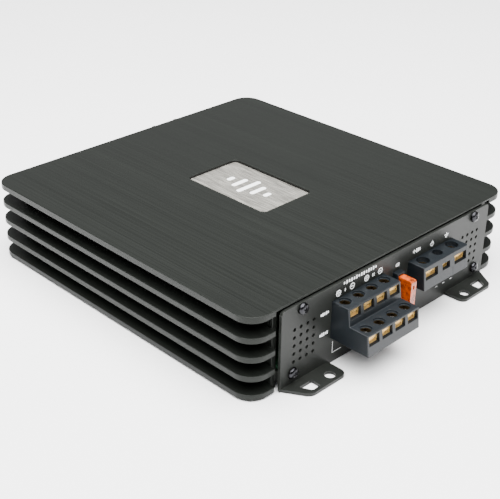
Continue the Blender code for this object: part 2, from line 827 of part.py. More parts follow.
def make_jack_block(name, x, finish):
    """Two jacks, one above the other, on one moulded body that stands on the board."""
    half = JACK_BODY / 2
    body = end_box(INPUT, x - half, x + half, JACK_INSIDE, JACK_FACE, BLOCK_FLOOR, JACK_TOP)
    part = solid(name, finish, boxes=[body])
    barrels, bores = [], []
    for z in JACK_LEVELS:
        barrels.append(((x, end_y(INPUT, 0.0), z), (x, end_y(INPUT, INPUT_REACH), z), JACK_RADIUS, 20))
        mouth = (x, end_y(INPUT, INPUT_REACH + THROUGH), z)
        bores.append(((x, end_y(INPUT, JACK_FACE), z), mouth, JACK_BORE, 12))
    combine(part, solid(f"{name}_barrels", None, cylinders=barrels), "UNION")
    combine(part, solid(f"{name}_bores", None, cylinders=bores))
    return part


def make_knob(name, x, finish):
    """A small screwdriver-slot control. Its local +Z points out of the end plate."""
    profile = [
        (0, KNOB_REACH),
        (KNOB_RADIUS - 0.0005, KNOB_REACH),
        (KNOB_RADIUS, KNOB_REACH - 0.0005),
        (KNOB_RADIUS, KNOB_INSIDE),
        (0, KNOB_INSIDE),
    ]
    location = (x, END_Y[INPUT], KNOB_Z)
    tilt = (math.radians(-90), 0, 0)
    part = lathe(name, profile, finish, location, 20, tilt)
    slot = solid(
        f"{name}_slot",
        None,
        boxes=[((-0.0004, -0.0026, KNOB_REACH - 0.0012), (0.0004, 0.004, KNOB_REACH + 0.001))],
    )
    slot.location = location
    slot.rotation_euler = tilt
    combine(part, slot)
    return smooth(part)


def make_switch_slider(name, x, finish):
    """Drawn at the left end of its travel, as seen from the input end. It slides towards -X."""
    centre = x + SWITCH_TRAVEL
    bottom, top = SWITCH_Z - SWITCH_TALL, SWITCH_Z + SWITCH_TALL
    low, high = centre - SWITCH_HALF, centre + SWITCH_HALF
    body = end_box(INPUT, low, high, SWITCH_INSIDE, SWITCH_REACH, bottom, top)
    part = solid(name, finish, boxes=[body])
    grooves = []
    for middle in (centre - SWITCH_HALF / 2, centre + SWITCH_HALF / 2):
        low, high = middle - GAP, middle + GAP
        reach = SWITCH_REACH + THROUGH
        grooves.append(end_box(INPUT, low, high, SWITCH_REACH - 0.0005, reach, bottom - GAP, top + GAP))
    combine(part, solid(f"{name}_grooves", None, boxes=grooves))
    return part


def make_light(finish):
    profile = [
        (0, 0.0030),
        (LIGHT_RADIUS * 0.7, 0.0026),
        (LIGHT_RADIUS, 0.0016),
        (LIGHT_RADIUS, -0.0030),
        (0, -0.0030),
    ]
    tilt = (math.radians(-90), 0, 0)
    return smooth(lathe("power_light", profile, finish, (LIGHT_X, END_Y[INPUT], LIGHT_Z), 16, tilt))


def output_windows():
    half_fuse = HOLDER_WIDTH / 2 + GAP
    speaker_half, power_half = SPEAKER_WIDTH / 2 + GAP, POWER_WIDTH / 2 + GAP
    return [
        (SPEAKER_X - speaker_half, SPEAKER_X + speaker_half, SPEAKER_BOTTOM - GAP, UPPER_TOP + GAP),
        (POWER_X - power_half, POWER_X + power_half, POWER_BOTTOM - GAP, POWER_TOP + GAP),
        (FUSE_X - half_fuse, FUSE_X + half_fuse, HOLDER_BOTTOM - GAP, HOLDER_TOP + GAP),
    ]


def input_windows():
    windows = []
    for x in JACK_X:
        half = JACK_BODY / 2 + GAP
        windows.append((x - half, x + half, BLOCK_FLOOR - GAP, JACK_TOP + GAP))
    for x in SWITCH_X:
        half, tall = SWITCH_TRAVEL + SWITCH_HALF + GAP, SWITCH_TALL + GAP
        windows.append((x - half, x + half, SWITCH_Z - tall, SWITCH_Z + tall))
    return windows


def main():
    clear_scene()
    bpy.context.scene.collection.children.link(PARTS)
    bpy.context.scene.collection.children.link(CUTTERS)

    anodised = material("black_anodised_aluminium", (0.055, 0.058, 0.055), 0.38, 0.8)
    painted = material("black_painted_steel", (0.030, 0.031, 0.030), 0.45, 0.1)
    zinc = material("zinc_plated_steel", (0.55, 0.56, 0.57), 0.35, 1.0)
    black_screw = material("black_oxide_steel", (0.020, 0.020, 0.022), 0.30, 0.7)
    silver = material("satin_nameplate", (0.48, 0.46, 0.44), 0.40, 0.8)
    block_plastic = material("dark_terminal_plastic", (0.030, 0.034, 0.040), 0.42)
    brass = material("brass", (0.78, 0.57, 0.28), 0.30, 1.0)
    fuse_plastic = material("amber_fuse_plastic", (0.85, 0.25, 0.04), 0.25, 0.0, 0.75)
    tin = material("tinned_metal", (0.70, 0.70, 0.68), 0.30, 1.0)
    board = material("circuit_laminate", (0.03, 0.16, 0.06), 0.50)
    copper = material("enamelled_copper", (0.55, 0.22, 0.08), 0.35, 0.6)
    sleeve = material("capacitor_sleeve", (0.04, 0.05, 0.10), 0.40)
    jack_plastic = material("jack_plastic", (0.02, 0.02, 0.02), 0.40)
    knob_plastic = material("knob_plastic", (0.03, 0.03, 0.03), 0.50)
    switch_plastic = material("switch_plastic", (0.05, 0.05, 0.05), 0.45)
    lens = material("light_lens", (0.05, 0.20, 0.70), 0.20)

    make_housing(anodised)
    make_bottom_cover(zinc)
    make_nameplate(silver)

    make_end_plate("output_end_plate", OUTPUT, painted, output_windows(), [])
    knob_holes = [(x, KNOB_Z, KNOB_RADIUS + 0.0004) for x in KNOB_X]
    light_hole = [(LIGHT_X, LIGHT_Z, LIGHT_RADIUS + GAP)]
    make_end_plate("input_end_plate", INPUT, painted, input_windows(), knob_holes + light_hole)
    make_plate_screws(black_screw)
    make_cover_screws(zinc)

    make_speaker_block(block_plastic)
    make_power_block(block_plastic)
    for item in speaker_poles() + power_poles():
        make_clamp(item, brass)
        make_terminal_screw(item, tin)

    make_fuse_holder(block_plastic)
    make_fuse(fuse_plastic, tin)

    make_board(board)
    make_internals(copper, sleeve, zinc)

    for name, x in zip(("front_jack_block", "rear_jack_block"), JACK_X):
        make_jack_block(name, x, jack_plastic)
    names = ("front_level_knob", "front_filter_knob", "rear_level_knob", "rear_filter_knob")
    for name, x in zip(names, KNOB_X):
        make_knob(name, x, knob_plastic)
    for name, x in zip(("front_filter_switch", "rear_filter_switch"), SWITCH_X):
        make_switch_slider(name, x, switch_plastic)
    make_light(lens)


main()
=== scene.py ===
"""Car amplifier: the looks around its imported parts, laid out as an add-on.

Metres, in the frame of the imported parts. The output end faces -Y, the input end faces +Y, Z is up.
A reach is a distance outwards from one of the housing's two end faces.
"""

import math

import bpy
from mathutils import Matrix, Quaternion, Vector


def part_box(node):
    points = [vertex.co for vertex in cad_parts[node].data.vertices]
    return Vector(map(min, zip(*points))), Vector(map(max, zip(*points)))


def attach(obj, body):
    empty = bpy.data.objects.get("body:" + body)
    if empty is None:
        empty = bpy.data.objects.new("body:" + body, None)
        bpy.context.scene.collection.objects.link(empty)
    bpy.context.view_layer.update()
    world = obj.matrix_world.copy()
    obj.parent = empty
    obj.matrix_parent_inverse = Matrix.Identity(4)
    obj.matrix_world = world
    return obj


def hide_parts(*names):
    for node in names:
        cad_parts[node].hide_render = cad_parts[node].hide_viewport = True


bl_info = {
    "name": "Car amplifier",
    "version": (1, 0, 0),
    "blender": (4, 5, 0),
    "location": "3D View > Sidebar > Amplifier",
    "description": "Models a finned car amplifier with screw terminals around its packed parts",
    "category": "Object",
}

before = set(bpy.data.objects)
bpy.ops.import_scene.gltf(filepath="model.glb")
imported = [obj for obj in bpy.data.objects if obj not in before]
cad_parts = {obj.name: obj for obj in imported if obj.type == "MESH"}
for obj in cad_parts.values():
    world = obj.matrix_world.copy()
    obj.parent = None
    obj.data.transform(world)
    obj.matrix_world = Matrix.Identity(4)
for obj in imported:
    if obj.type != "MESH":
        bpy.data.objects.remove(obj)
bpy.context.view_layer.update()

OUTPUT = -1
INPUT = 1
END_NAMES = {OUTPUT: "output", INPUT: "input"}
HOUSING_LOW, HOUSING_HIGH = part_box("heatsink_housing")
END_FACE = {OUTPUT: HOUSING_LOW.y, INPUT: HOUSING_HIGH.y}

# Housing
FIN_ROOT = 0.079
FIN_PITCH = 0.00985
FIN_THICKNESS = 0.0029
TOP_STRIP = 0.00325
INNER_HALF = 0.076
CEILING = 0.0405
NOTCH_TOP = 0.0423
NOTCH_DEPTH = 0.0024
RAIL = ((0.0660, 0.0765), (0.0044, 0.0098))
PORT = ((0.0612, 0.0668), (0.0356, 0.0412))
PORT_END = 0.0005
SCREW_PLACES = ((0.0640, 0.0385), (0.0692, 0.0070))
SCREW_DRILL = (0.0125, 0.0015)
COVER_SCREW_PLACES = ((0.0725, -0.0651), (0.0725, 0.0749))
COVER_DRILL = (0.0086, 0.0014)

# The nameplate and its recess
POCKET_FLOOR = 0.0416
POCKET_RIM = 0.0432
POCKET_GAP = 0.0003
POCKET_CORNER = 0.0030
NAMEPLATE_CORNER = 0.0027
BAR_PITCH = 0.0068
BAR_HALF_WIDTH = 0.0014
BAR_LENGTHS = (0.005, 0.011, 0.017, 0.011, 0.005)

# End plates
PLATE_FACE = 0.0013
PLATE_BACK = -0.0002
SHEET = 0.0015
PLATE_CORNER = 0.0022
WINDOW_GAP = 0.00015
FOOT_INNER = 0.0452
FOOT_OUTER = 0.0769
FOOT_FAR_OUTER = 0.0690
FOOT_REACH = 0.01335
FOOT_CORNERS = ((FOOT_INNER, 0.0035), (FOOT_FAR_OUTER, 0.0025))
FOOT_HOLE = (0.0521, 0.0088, 0.0026)
FOOT_SLOT = (0.0611, 0.0691, 0.0663, 0.0058, 0.0113)
VENT_X = tuple(0.0560 + 0.0042 * column for column in range(4))
VENT_Z = tuple(0.0125 + 0.0042 * row for row in range(5))
VENT_RADIUS = 0.0010

# Terminals. A tier is its bottom, its top and its front's reach at the bottom and at the top.
SPEAKER_POLES = [f"{tier}_{index}" for tier in ("upper", "lower") for index in range(1, 5)]
POWER_POLES = ["supply", "remote", "ground"]
BLOCK_INSIDE = -0.0090
BLOCK_BEHIND = -0.0006
SPEAKER_TIERS = ((0.0139, 0.0248, 0.0238, 0.0225), (0.0240, 0.0335, 0.0124, 0.01095))
POWER_TIERS = ((0.0202, 0.0326, 0.0120, 0.0106),)
POWER_SEAM_X = 0.0344
ROOM_HEIGHT = 0.0050
REMOTE_ROOM_HEIGHT = 0.0040
CLAMP_THICKNESS = 0.0008
CAGE_WALL = 0.0003
DIMPLE_DEPTH = 0.00016
DIMPLE_HEIGHT = 0.00055

# Fuse
BLADE_HEIGHT = 0.0052
FUSE_ROOM_HALF = 0.00065

# Input end
KNOBS = ("front_level_knob", "front_filter_knob", "rear_level_knob", "rear_filter_knob")
JACKS = ("front_jack_block", "rear_jack_block")
SWITCH_X = (-0.0050, -0.0340)
SWITCH_OPENING = 0.0088
SWITCH_PATH_HALF = 0.0020
JACK_FACE = 0.0026
JACK_RADIUS = 0.0042
JACK_LEVELS = (0.0190, 0.0325)

# Printed symbols: the heights of their rows
BADGE_Z = 0.0362
STRIP_Z = 0.0399
FUSE_MARK_Z = 0.0342
SUPPLY_MARK_Z = 0.0366

# Stage
CAMERA_PLACE = (-0.35183, -0.34901, 0.27735)
CAMERA_AIM = (0.61985, 0.62093, -0.47982)
CAMERA_ROLL = 0.69
CAMERA_LENS = 75.09

# How far a cutter runs past what it cuts, and the height of printed ink over its plate.
PAST = 0.004
INK = 0.00006


class AmplifierLooks(bpy.types.PropertyGroup):
    """Sizes and colours that a user would change."""

    plan_corner: bpy.props.FloatProperty(
        name="Housing corner",
        description="Radius of the housing's upright corners",
        default=0.010,
        unit="LENGTH",
    )
    fin_edge: bpy.props.FloatProperty(
        name="Fin edge", description="Rounding of the fins' long edges", default=0.0003, unit="LENGTH"
    )
    block_edge: bpy.props.FloatProperty(
        name="Terminal edge", description="Rounding of the terminal blocks", default=0.0004, unit="LENGTH"
    )
    anodised: bpy.props.FloatVectorProperty(
        name="Anodising",
        description="Colour of the housing",
        subtype="COLOR",
        default=(0.0090, 0.0104, 0.0088),
    )
    powder: bpy.props.FloatVectorProperty(
        name="End plates",
        description="Colour of the powder coat",
        subtype="COLOR",
        default=(0.0095, 0.0105, 0.0092),
    )
    block: bpy.props.FloatVectorProperty(
        name="Terminal plastic",
        description="Colour of the terminal blocks",
        subtype="COLOR",
        default=(0.0040, 0.0056, 0.0072),
    )
    brass: bpy.props.FloatVectorProperty(
        name="Brass",
        description="Colour of the clamps and contacts",
        subtype="COLOR",
        default=(0.84, 0.55, 0.19),
    )
    amber: bpy.props.FloatVectorProperty(
        name="Fuse", description="Colour of the fuse body", subtype="COLOR", default=(0.42, 0.060, 0.004)
    )
    plate_silver: bpy.props.FloatVectorProperty(
        name="Nameplate", description="Colour of the nameplate", subtype="COLOR", default=(0.66, 0.64, 0.58)
    )
    ink: bpy.props.FloatVectorProperty(
        name="Print", description="Colour of the printed symbols", subtype="COLOR", default=(0.86, 0.88, 0.88)
    )


# Modelling by operators


def deselect():
    bpy.ops.object.select_all(action="DESELECT")


def make_active(piece):
    deselect()
    piece.select_set(True)
    bpy.context.view_layer.objects.active = piece


def settle(piece):
    """Puts a piece's place, turn and size into its mesh."""
    make_active(piece)
    bpy.ops.object.transform_apply(location=True, rotation=True, scale=True)
    return piece


def new_box(name, low, high):
    deselect()
    low, high = Vector(low), Vector(high)
    bpy.ops.mesh.primitive_cube_add(size=1.0, location=(low + high) / 2, scale=high - low)
    piece = bpy.context.object
    piece.name = name
    return settle(piece)


def new_cylinder(name, start, end, radius, sides=32):
    deselect()
    start, end = Vector(start), Vector(end)
    turn = (end - start).to_track_quat("Z", "Y").to_euler()
    bpy.ops.mesh.primitive_cylinder_add(
        vertices=sides,
        radius=radius,
        depth=(end - start).length,
        location=(start + end) / 2,
        rotation=turn,
    )
    piece = bpy.context.object
    piece.name = name
    return settle(piece)


def edit_chosen(piece, kind, chosen):
    """Enters edit mode with only the chosen vertices, edges or polygons selected."""
    make_active(piece)
    mesh = piece.data
    kinds = ("vertices", "edges", "polygons")
    for group in (mesh.vertices, mesh.edges, mesh.polygons):
        group.foreach_set("select", [False] * len(group))
    for item in getattr(mesh, kind):
        indices = [item.index] if kind == "vertices" else item.vertices
        item.select = chosen([mesh.vertices[index].co for index in indices])
    bpy.context.tool_settings.mesh_select_mode = tuple(kind == other for other in kinds)
    bpy.ops.object.mode_set(mode="EDIT")


def pick(piece, kind, test):
    """Enters edit mode with what has every corner passing the test selected."""
    edit_chosen(piece, kind, lambda corners: all(test(corner) for corner in corners))


def leave_edit():
    bpy.ops.object.mode_set(mode="OBJECT")


def round_picked(piece, test, radius, segments):
    pick(piece, "edges", test)
    bpy.ops.mesh.bevel(offset=radius, segments=segments, affect="EDGES")
    leave_edit()


def round_upright(piece, radius, segments):
    """Rounds the four upright edges of a box."""
    edit_chosen(piece, "edges", lambda ends: not near(ends[0].z, ends[1].z))
    bpy.ops.mesh.bevel(offset=radius, segments=segments, affect="EDGES")
    leave_edit()


def move_picked(piece, test, step):
    pick(piece, "vertices", test)
    bpy.ops.transform.translate(value=step)
    leave_edit()


def near(first, second):
    return abs(first - second) < 0.00002


def turned(name, steps, sides=32):
    """A turned piece about Z: its lowest disc, extruded and sized through (radius, height) steps."""
    deselect()
    radius, height = steps[0]
    bpy.ops.mesh.primitive_circle_add(vertices=sides, radius=radius, fill_type="NGON", location=(0, 0, height))
    piece = bpy.context.object
    piece.name = name
    settle(piece)
    bpy.ops.object.mode_set(mode="EDIT")
    bpy.ops.mesh.select_all(action="SELECT")
    for wider, higher in steps[1:]:
        bpy.ops.mesh.extrude_region_move(TRANSFORM_OT_translate={"value": (0, 0, higher - height)})
        ratio = wider / radius
        bpy.ops.transform.resize(value=(ratio, ratio, 1), center_override=(0, 0, higher))
        radius, height = wider, higher
    bpy.ops.mesh.select_all(action="SELECT")
    bpy.ops.mesh.normals_make_consistent(inside=False)
    leave_edit()
    return piece


def stand(piece, place, facing=(0, 0, 1), spin=0.0):
    """Turns a piece's own Z towards facing, after a spin about it, and puts it in place."""
    turn = Vector(facing).to_track_quat("Z", "Y") @ Quaternion((0, 0, 1), spin)
    piece.matrix_world = Matrix.Translation(place) @ turn.to_matrix().to_4x4()
    return settle(piece)


def copied(piece, name):
    make_active(piece)
    bpy.ops.object.duplicate(linked=False)
    twin = bpy.context.object
    twin.name = name
    return twin


def joined(pieces):
    deselect()
    for piece in pieces:
        piece.select_set(True)
    bpy.context.view_layer.objects.active = pieces[0]
    if len(pieces) > 1:
        bpy.ops.object.join()
    return pieces[0]


def combine(piece, tools, operation="DIFFERENCE"):
    """Cuts with tools that don't cross each other, or adds them."""
    tool = joined(tools)
    make_active(piece)
    bpy.ops.object.modifier_add(type="BOOLEAN")
    step = piece.modifiers[-1]
    step.operation = operation
    step.solver = "EXACT"
    step.object = tool
    bpy.ops.object.modifier_apply(modifier=step.name)
    bpy.data.objects.remove(tool, do_unlink=True)
    return piece


def round_edges(piece, width, segments=2, angle=35, clamp=False):
    make_active(piece)
    bpy.ops.object.modifier_add(type="BEVEL")
    step = piece.modifiers[-1]
    step.width = width
    step.segments = segments
    step.limit_method = "ANGLE"
    step.angle_limit = math.radians(angle)
    step.use_clamp_overlap = clamp
    bpy.ops.object.modifier_apply(modifier=step.name)
    return piece


def dress(piece, finish, body="chassis", stands_for=()):
    """Smooths a piece, gives it its finish and ties it to its body."""
    make_active(piece)
    bpy.ops.object.shade_smooth_by_angle(angle=math.radians(38))
    bpy.ops.object.modifier_add(type="WEIGHTED_NORMAL")
    step = piece.modifiers[-1]
    step.keep_sharp = True
    bpy.ops.object.modifier_apply(modifier=step.name)
    piece.data.materials.clear()
    piece.data.materials.append(finish)
    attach(piece, body)
    if stands_for:
        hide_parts(*stands_for)
    return piece


def end_y(end, reach):
    return END_FACE[end] + end * reach


def end_box(name, end, x_range, reach_range, z_range):
    """A box beside an end face. The reaches run outwards from it."""
    ys = sorted(end_y(end, reach) for reach in reach_range)
    return new_box(name, (min(x_range), ys[0], z_range[0]), (max(x_range), ys[1], z_range[1]))


def middle(node):
    low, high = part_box(node)
    return (low + high) / 2


# Finishes


def add_node(tree, kind, **settings):
    made = tree.nodes.new(kind)
    for name, value in settings.items():
        setattr(made, name, value)
    return made


def new_finish(name, color, roughness, metallic=0.0, **sockets):
    """A Principled material. Sockets that stay the same all over are set here."""
    made = bpy.data.materials.new(name)
    made.use_nodes = True
    shader = made.node_tree.nodes["Principled BSDF"]
    shader.inputs["Base Color"].default_value = (*color, 1.0)
    shader.inputs["Roughness"].default_value = roughness
    shader.inputs["Metallic"].default_value = metallic
    for socket, value in sockets.items():
        shader.inputs[socket.replace("_", " ")].default_value = value
    return made, made.node_tree, shader


def grain(tree, scale, detail=4.0, stretch=(1, 1, 1), rough=0.6):
    """Noise on Object coordinates, as a value from 0 to 1."""
    place = add_node(tree, "ShaderNodeTexCoord")
    mapping = add_node(tree, "ShaderNodeMapping")
    mapping.inputs["Scale"].default_value = stretch
    noise = add_node(tree, "ShaderNodeTexNoise")
    noise.inputs["Scale"].default_value = scale
    noise.inputs["Detail"].default_value = detail
    noise.inputs["Roughness"].default_value = rough
    tree.links.new(place.outputs["Object"], mapping.inputs["Vector"])
    tree.links.new(mapping.outputs["Vector"], noise.inputs["Vector"])
    return noise.outputs["Fac"]


def ranged(tree, value, start, stop, low, high):
    """Value between start and stop, spread over low to high."""
    step = add_node(tree, "ShaderNodeMapRange")
    for socket, number in zip(("From Min", "From Max", "To Min", "To Max"), (start, stop, low, high)):
        step.inputs[socket].default_value = number
    tree.links.new(value, step.inputs["Value"])
    return step.outputs["Result"]


def calculated(tree, operation, first, second):
    """A value worked out from two others. The second may be a plain number."""
    step = add_node(tree, "ShaderNodeMath", operation=operation)
    tree.links.new(first, step.inputs[0])
    if isinstance(second, float):
        step.inputs[1].default_value = second
    else:
        tree.links.new(second, step.inputs[1])
    return step.outputs["Value"]


def mixed(tree, factor, first, second):
    """A colour between two, each a plain colour or another mix."""
    step = add_node(tree, "ShaderNodeMix", data_type="RGBA")
    tree.links.new(factor, step.inputs["Factor"])
    for socket, color in ((step.inputs[6], first), (step.inputs[7], second)):
        if isinstance(color, bpy.types.NodeSocket):
            tree.links.new(color, socket)
        else:
            socket.default_value = (*color, 1.0)
    return step.outputs[2]


def bumped(tree, shader, height, strength, distance):
    step = add_node(tree, "ShaderNodeBump")
    step.inputs["Strength"].default_value = strength
    step.inputs["Distance"].default_value = distance
    tree.links.new(height, step.inputs["Height"])
    tree.links.new(step.outputs["Normal"], shader.inputs["Normal"])


def worn_edges(tree, radius, amount):
    """How close a point is to a sharp edge, broken up by noise."""
    rounded = add_node(tree, "ShaderNodeBevel", samples=4)
    rounded.inputs["Radius"].default_value = radius
    surface = add_node(tree, "ShaderNodeNewGeometry")
    likeness = add_node(tree, "ShaderNodeVectorMath", operation="DOT_PRODUCT")
    tree.links.new(rounded.outputs["Normal"], likeness.inputs[0])
    tree.links.new(surface.outputs["Normal"], likeness.inputs[1])
    edge = ranged(tree, likeness.outputs["Value"], 0.985, 0.86, 0.0, amount)
    return calculated(tree, "MULTIPLY", edge, ranged(tree, grain(tree, 900.0), 0.40, 0.62, 0.15, 1.0))


def scaled(color, factor):
    return tuple(min(1.0, channel * factor) for channel in color)


def varied(tree, value, start, stop, color, darker, lighter):
    """A colour that follows a value from a darker to a lighter shade of itself."""
    factor = ranged(tree, value, start, stop, 0.0, 1.0)
    return mixed(tree, factor, scaled(color, darker), scaled(color, lighter))


def finish_with(tree, shader, shade, value, roughness):
    """Links the shade, and a roughness that runs over the middle of the value's range."""
    tree.links.new(shade, shader.inputs["Base Color"])
    tree.links.new(ranged(tree, value, 0.3, 0.7, *roughness), shader.inputs["Roughness"])


def anodised_finish(looks):
    """Black anodising over lines brushed along the fins."""
    made, tree, shader = new_finish(
        "brushed_black_anodising", looks.anodised, 0.40, 0.35, Specular_IOR_Level=0.22
    )
    fine = grain(tree, 1.0, 3.0, (2400, 9, 2400))
    broad = grain(tree, 1.0, 2.0, (600, 3, 600))
    cloudy = grain(tree, 16.0, 3.0)
    fine, broad = calculated(tree, "MULTIPLY", fine, 0.7), calculated(tree, "MULTIPLY", broad, 0.3)
    lines = calculated(tree, "ADD", fine, broad)
    shade = varied(tree, lines, 0.36, 0.64, looks.anodised, 0.78, 1.32)
    shade = mixed(tree, ranged(tree, cloudy, 0.35, 0.7, 0.0, 0.35), shade, scaled(looks.anodised, 0.75))
    shade = mixed(tree, worn_edges(tree, 0.0004, 0.55), shade, scaled(looks.anodised, 3.4))
    finish_with(tree, shader, shade, lines, (0.34, 0.50))
    bumped(tree, shader, lines, 0.22, 0.00003)
    return made


def recess_painted_shade_finish():
    """The unbrushed, milled walls of the nameplate's recess, darker than the anodising: painted shade in the
    recess.
    """
    # Both tones are darker than the anodising, painted shade in the recess.
    dark, light = (0.003, 0.003, 0.003), (0.008, 0.008, 0.008)
    made, tree, shader = new_finish("milled_black_recess", (0.004, 0.004, 0.004), 0.6, Specular_IOR_Level=0.15)
    milled = grain(tree, 1500.0, 2.0, (1, 1, 0.1))
    shade = mixed(tree, ranged(tree, milled, 0.3, 0.7, 0.0, 1.0), dark, light)
    finish_with(tree, shader, shade, milled, (0.5, 0.7))
    bumped(tree, shader, milled, 0.1, 0.00003)
    return made


def powder_finish(looks):
    """Satin powder coat on steel sheet."""
    made, tree, shader = new_finish("black_powder_coat", looks.powder, 0.40, Specular_IOR_Level=0.22)
    peel = grain(tree, 2200.0, 2.0)
    wide = grain(tree, 45.0, 4.0)
    shade = varied(tree, wide, 0.3, 0.7, looks.powder, 0.8, 1.25)
    shade = mixed(tree, worn_edges(tree, 0.00035, 0.6), shade, scaled(looks.powder, 5.5))
    finish_with(tree, shader, shade, wide, (0.36, 0.48))
    bumped(tree, shader, peel, 0.12, 0.00004)
    return made


def plastic_finish(name, color, roughness, texture=1500.0, wear=2.6, **sockets):
    """Moulded plastic with a fine spark-eroded texture and slightly rubbed edges."""
    made, tree, shader = new_finish(name, color, roughness, **sockets)
    spark = grain(tree, texture, 3.0)
    wide = grain(tree, 70.0, 3.0)
    shade = varied(tree, wide, 0.3, 0.7, color, 0.85, 1.15)
    shade = mixed(tree, worn_edges(tree, 0.0004, 0.45), shade, scaled(color, wear))
    finish_with(tree, shader, shade, spark, (roughness - 0.06, roughness + 0.08))
    bumped(tree, shader, spark, 0.10, 0.00005)
    return made


def metal_finish(name, color, roughness, stretch=(1, 1, 1), scale=900.0, tarnish=0.6, metallic=1.0):
    """Plated or stamped metal with drawn lines, tarnished patches and bright edges."""
    made, tree, shader = new_finish(name, color, roughness, metallic)
    drawn = grain(tree, scale, 3.0, stretch)
    stain = grain(tree, 260.0, 4.0)
    shade = mixed(tree, ranged(tree, stain, 0.42, 0.7, 0.0, 0.8), color, scaled(color, tarnish))
    shade = mixed(tree, worn_edges(tree, 0.0002, 0.5), shade, scaled(color, 1.3))
    finish_with(tree, shader, shade, drawn, (roughness - 0.08, roughness + 0.12))
    bumped(tree, shader, drawn, 0.15, 0.00003)
    return made


def amber_finish(looks):
    """Clear tinted plastic with faint flow marks."""
    made, tree, shader = new_finish(
        "clear_amber", looks.amber, 0.30, IOR=1.5, Transmission_Weight=0.30, Coat_Weight=0.1
    )
    flow = grain(tree, 320.0, 3.0)
    shade = varied(tree, flow, 0.35, 0.65, looks.amber, 0.40, 1.6)
    finish_with(tree, shader, shade, flow, (0.22, 0.40))
    bumped(tree, shader, flow, 0.10, 0.0001)
    return made


def ink_finish(looks):
    """Screen-printed ink, a little thin in places."""
    made, tree, shader = new_finish("white_print", looks.ink, 0.5)
    thin = grain(tree, 2600.0, 3.0)
    shade = mixed(tree, ranged(tree, thin, 0.55, 0.75, 0.0, 0.5), looks.ink, scaled(looks.ink, 0.7))
    finish_with(tree, shader, shade, thin, (0.42, 0.6))
    return made


def laminate_finish():
    """Circuit board: solder mask over faint tracks."""
    made, tree, shader = new_finish("green_solder_mask", (0.004, 0.020, 0.010), 0.35)
    place = add_node(tree, "ShaderNodeTexCoord")
    tracks = add_node(tree, "ShaderNodeTexBrick", offset=0.35, squash=1.4)
    tracks.inputs["Scale"].default_value = 160.0
    tracks.inputs["Mortar Size"].default_value = 0.06
    tracks.inputs["Color1"].default_value = (0.003, 0.016, 0.008, 1.0)
    tracks.inputs["Color2"].default_value = (0.005, 0.024, 0.012, 1.0)
    tracks.inputs["Mortar"].default_value = (0.012, 0.050, 0.022, 1.0)
    tree.links.new(place.outputs["Object"], tracks.inputs["Vector"])
    tree.links.new(tracks.outputs["Color"], shader.inputs["Base Color"])
    tree.links.new(ranged(tree, grain(tree, 400.0), 0.3, 0.7, 0.28, 0.45), shader.inputs["Roughness"])
    bumped(tree, shader, tracks.outputs["Fac"], 0.3, 0.00004)
    return made


def winding_finish():
    """Enamelled wire wound round the toroid's ring, darker in the grooves between its turns: painted shade."""
    made, tree, shader = new_finish("enamelled_copper_wire", (0.50, 0.20, 0.07), 0.3, 0.9)
    centre = middle("toroid_transformer")
    place = add_node(tree, "ShaderNodeTexCoord")
    mapping = add_node(tree, "ShaderNodeMapping")
    mapping.inputs["Location"].default_value = -centre
    around = add_node(tree, "ShaderNodeTexGradient", gradient_type="RADIAL")
    tree.links.new(place.outputs["Object"], mapping.inputs["Vector"])
    tree.links.new(mapping.outputs["Vector"], around.inputs["Vector"])
    phase = calculated(tree, "MULTIPLY", around.outputs["Fac"], 72.0 * math.tau)
    strand = calculated(tree, "SINE", phase, 0.0)
    # Each turn runs from a dark groove to its copper crest: the dark is painted shade between the turns.
    shade = mixed(tree, ranged(tree, strand, -1.0, 0.6, 0.0, 1.0), (0.10, 0.03, 0.01), (0.62, 0.26, 0.09))
    tree.links.new(shade, shader.inputs["Base Color"])
    tree.links.new(ranged(tree, strand, -1.0, 1.0, 0.5, 0.25), shader.inputs["Roughness"])
    bumped(tree, shader, strand, 0.6, 0.0004)
    return made


FINISHES = {
    "anodised": anodised_finish,
    "powder": powder_finish,
    # The recess finish is darker than the anodising: painted shade in the nameplate's recess.
    "recess": lambda looks: recess_painted_shade_finish(),
    "block": lambda looks: plastic_finish(
        "dark_terminal_moulding", looks.block, 0.40, wear=5.0, Specular_IOR_Level=0.28
    ),
    "brass": lambda looks: metal_finish("stamped_brass", looks.brass, 0.34, (1, 0.2, 1), 1400.0, 0.55, 0.75),
    # A near-black brass, painted shade for the insides of the contact cages.
    "tarnish": lambda looks: metal_finish(
        "tarnished_brass", scaled(looks.brass, 0.06), 0.5, (1, 0.2, 1), 1400.0, 0.5, 0.75
    ),
    "screw_black": lambda looks: metal_finish("black_oxide_screw", (0.030, 0.030, 0.033), 0.22, tarnish=0.5),
    "nickel": lambda looks: metal_finish("nickel_plate", (0.62, 0.60, 0.56), 0.24, tarnish=0.7),
    "zinc": lambda looks: metal_finish(
        "zinc_plated_sheet", (0.50, 0.51, 0.52), 0.34, (1, 0.05, 1), 800.0, 0.75
    ),
    "silver": lambda looks: metal_finish(
        "satin_silver", looks.plate_silver, 0.38, (1, 0.05, 1), 1600.0, 0.93
    ),
    "amber": amber_finish,
    "ink": ink_finish,
    "laminate": lambda looks: laminate_finish(),
    "winding": lambda looks: winding_finish(),
    "sleeve": lambda looks: plastic_finish("capacitor_sleeve", (0.02, 0.03, 0.07), 0.30, 900.0),
    "jack": lambda looks: plastic_finish("jack_moulding", (0.018, 0.018, 0.018), 0.42),
    "control": lambda looks: plastic_finish("control_moulding", (0.028, 0.028, 0.028), 0.48),
    "red": lambda looks: plastic_finish("red_insulator", (0.45, 0.015, 0.012), 0.35, wear=1.3),
    "white": lambda looks: plastic_finish("white_insulator", (0.62, 0.61, 0.58), 0.35, wear=1.1),
    "lens": lambda looks: plastic_finish(
        "tinted_lens", (0.03, 0.12, 0.45), 0.18, 400.0, 1.4, Coat_Weight=0.6
    ),
}


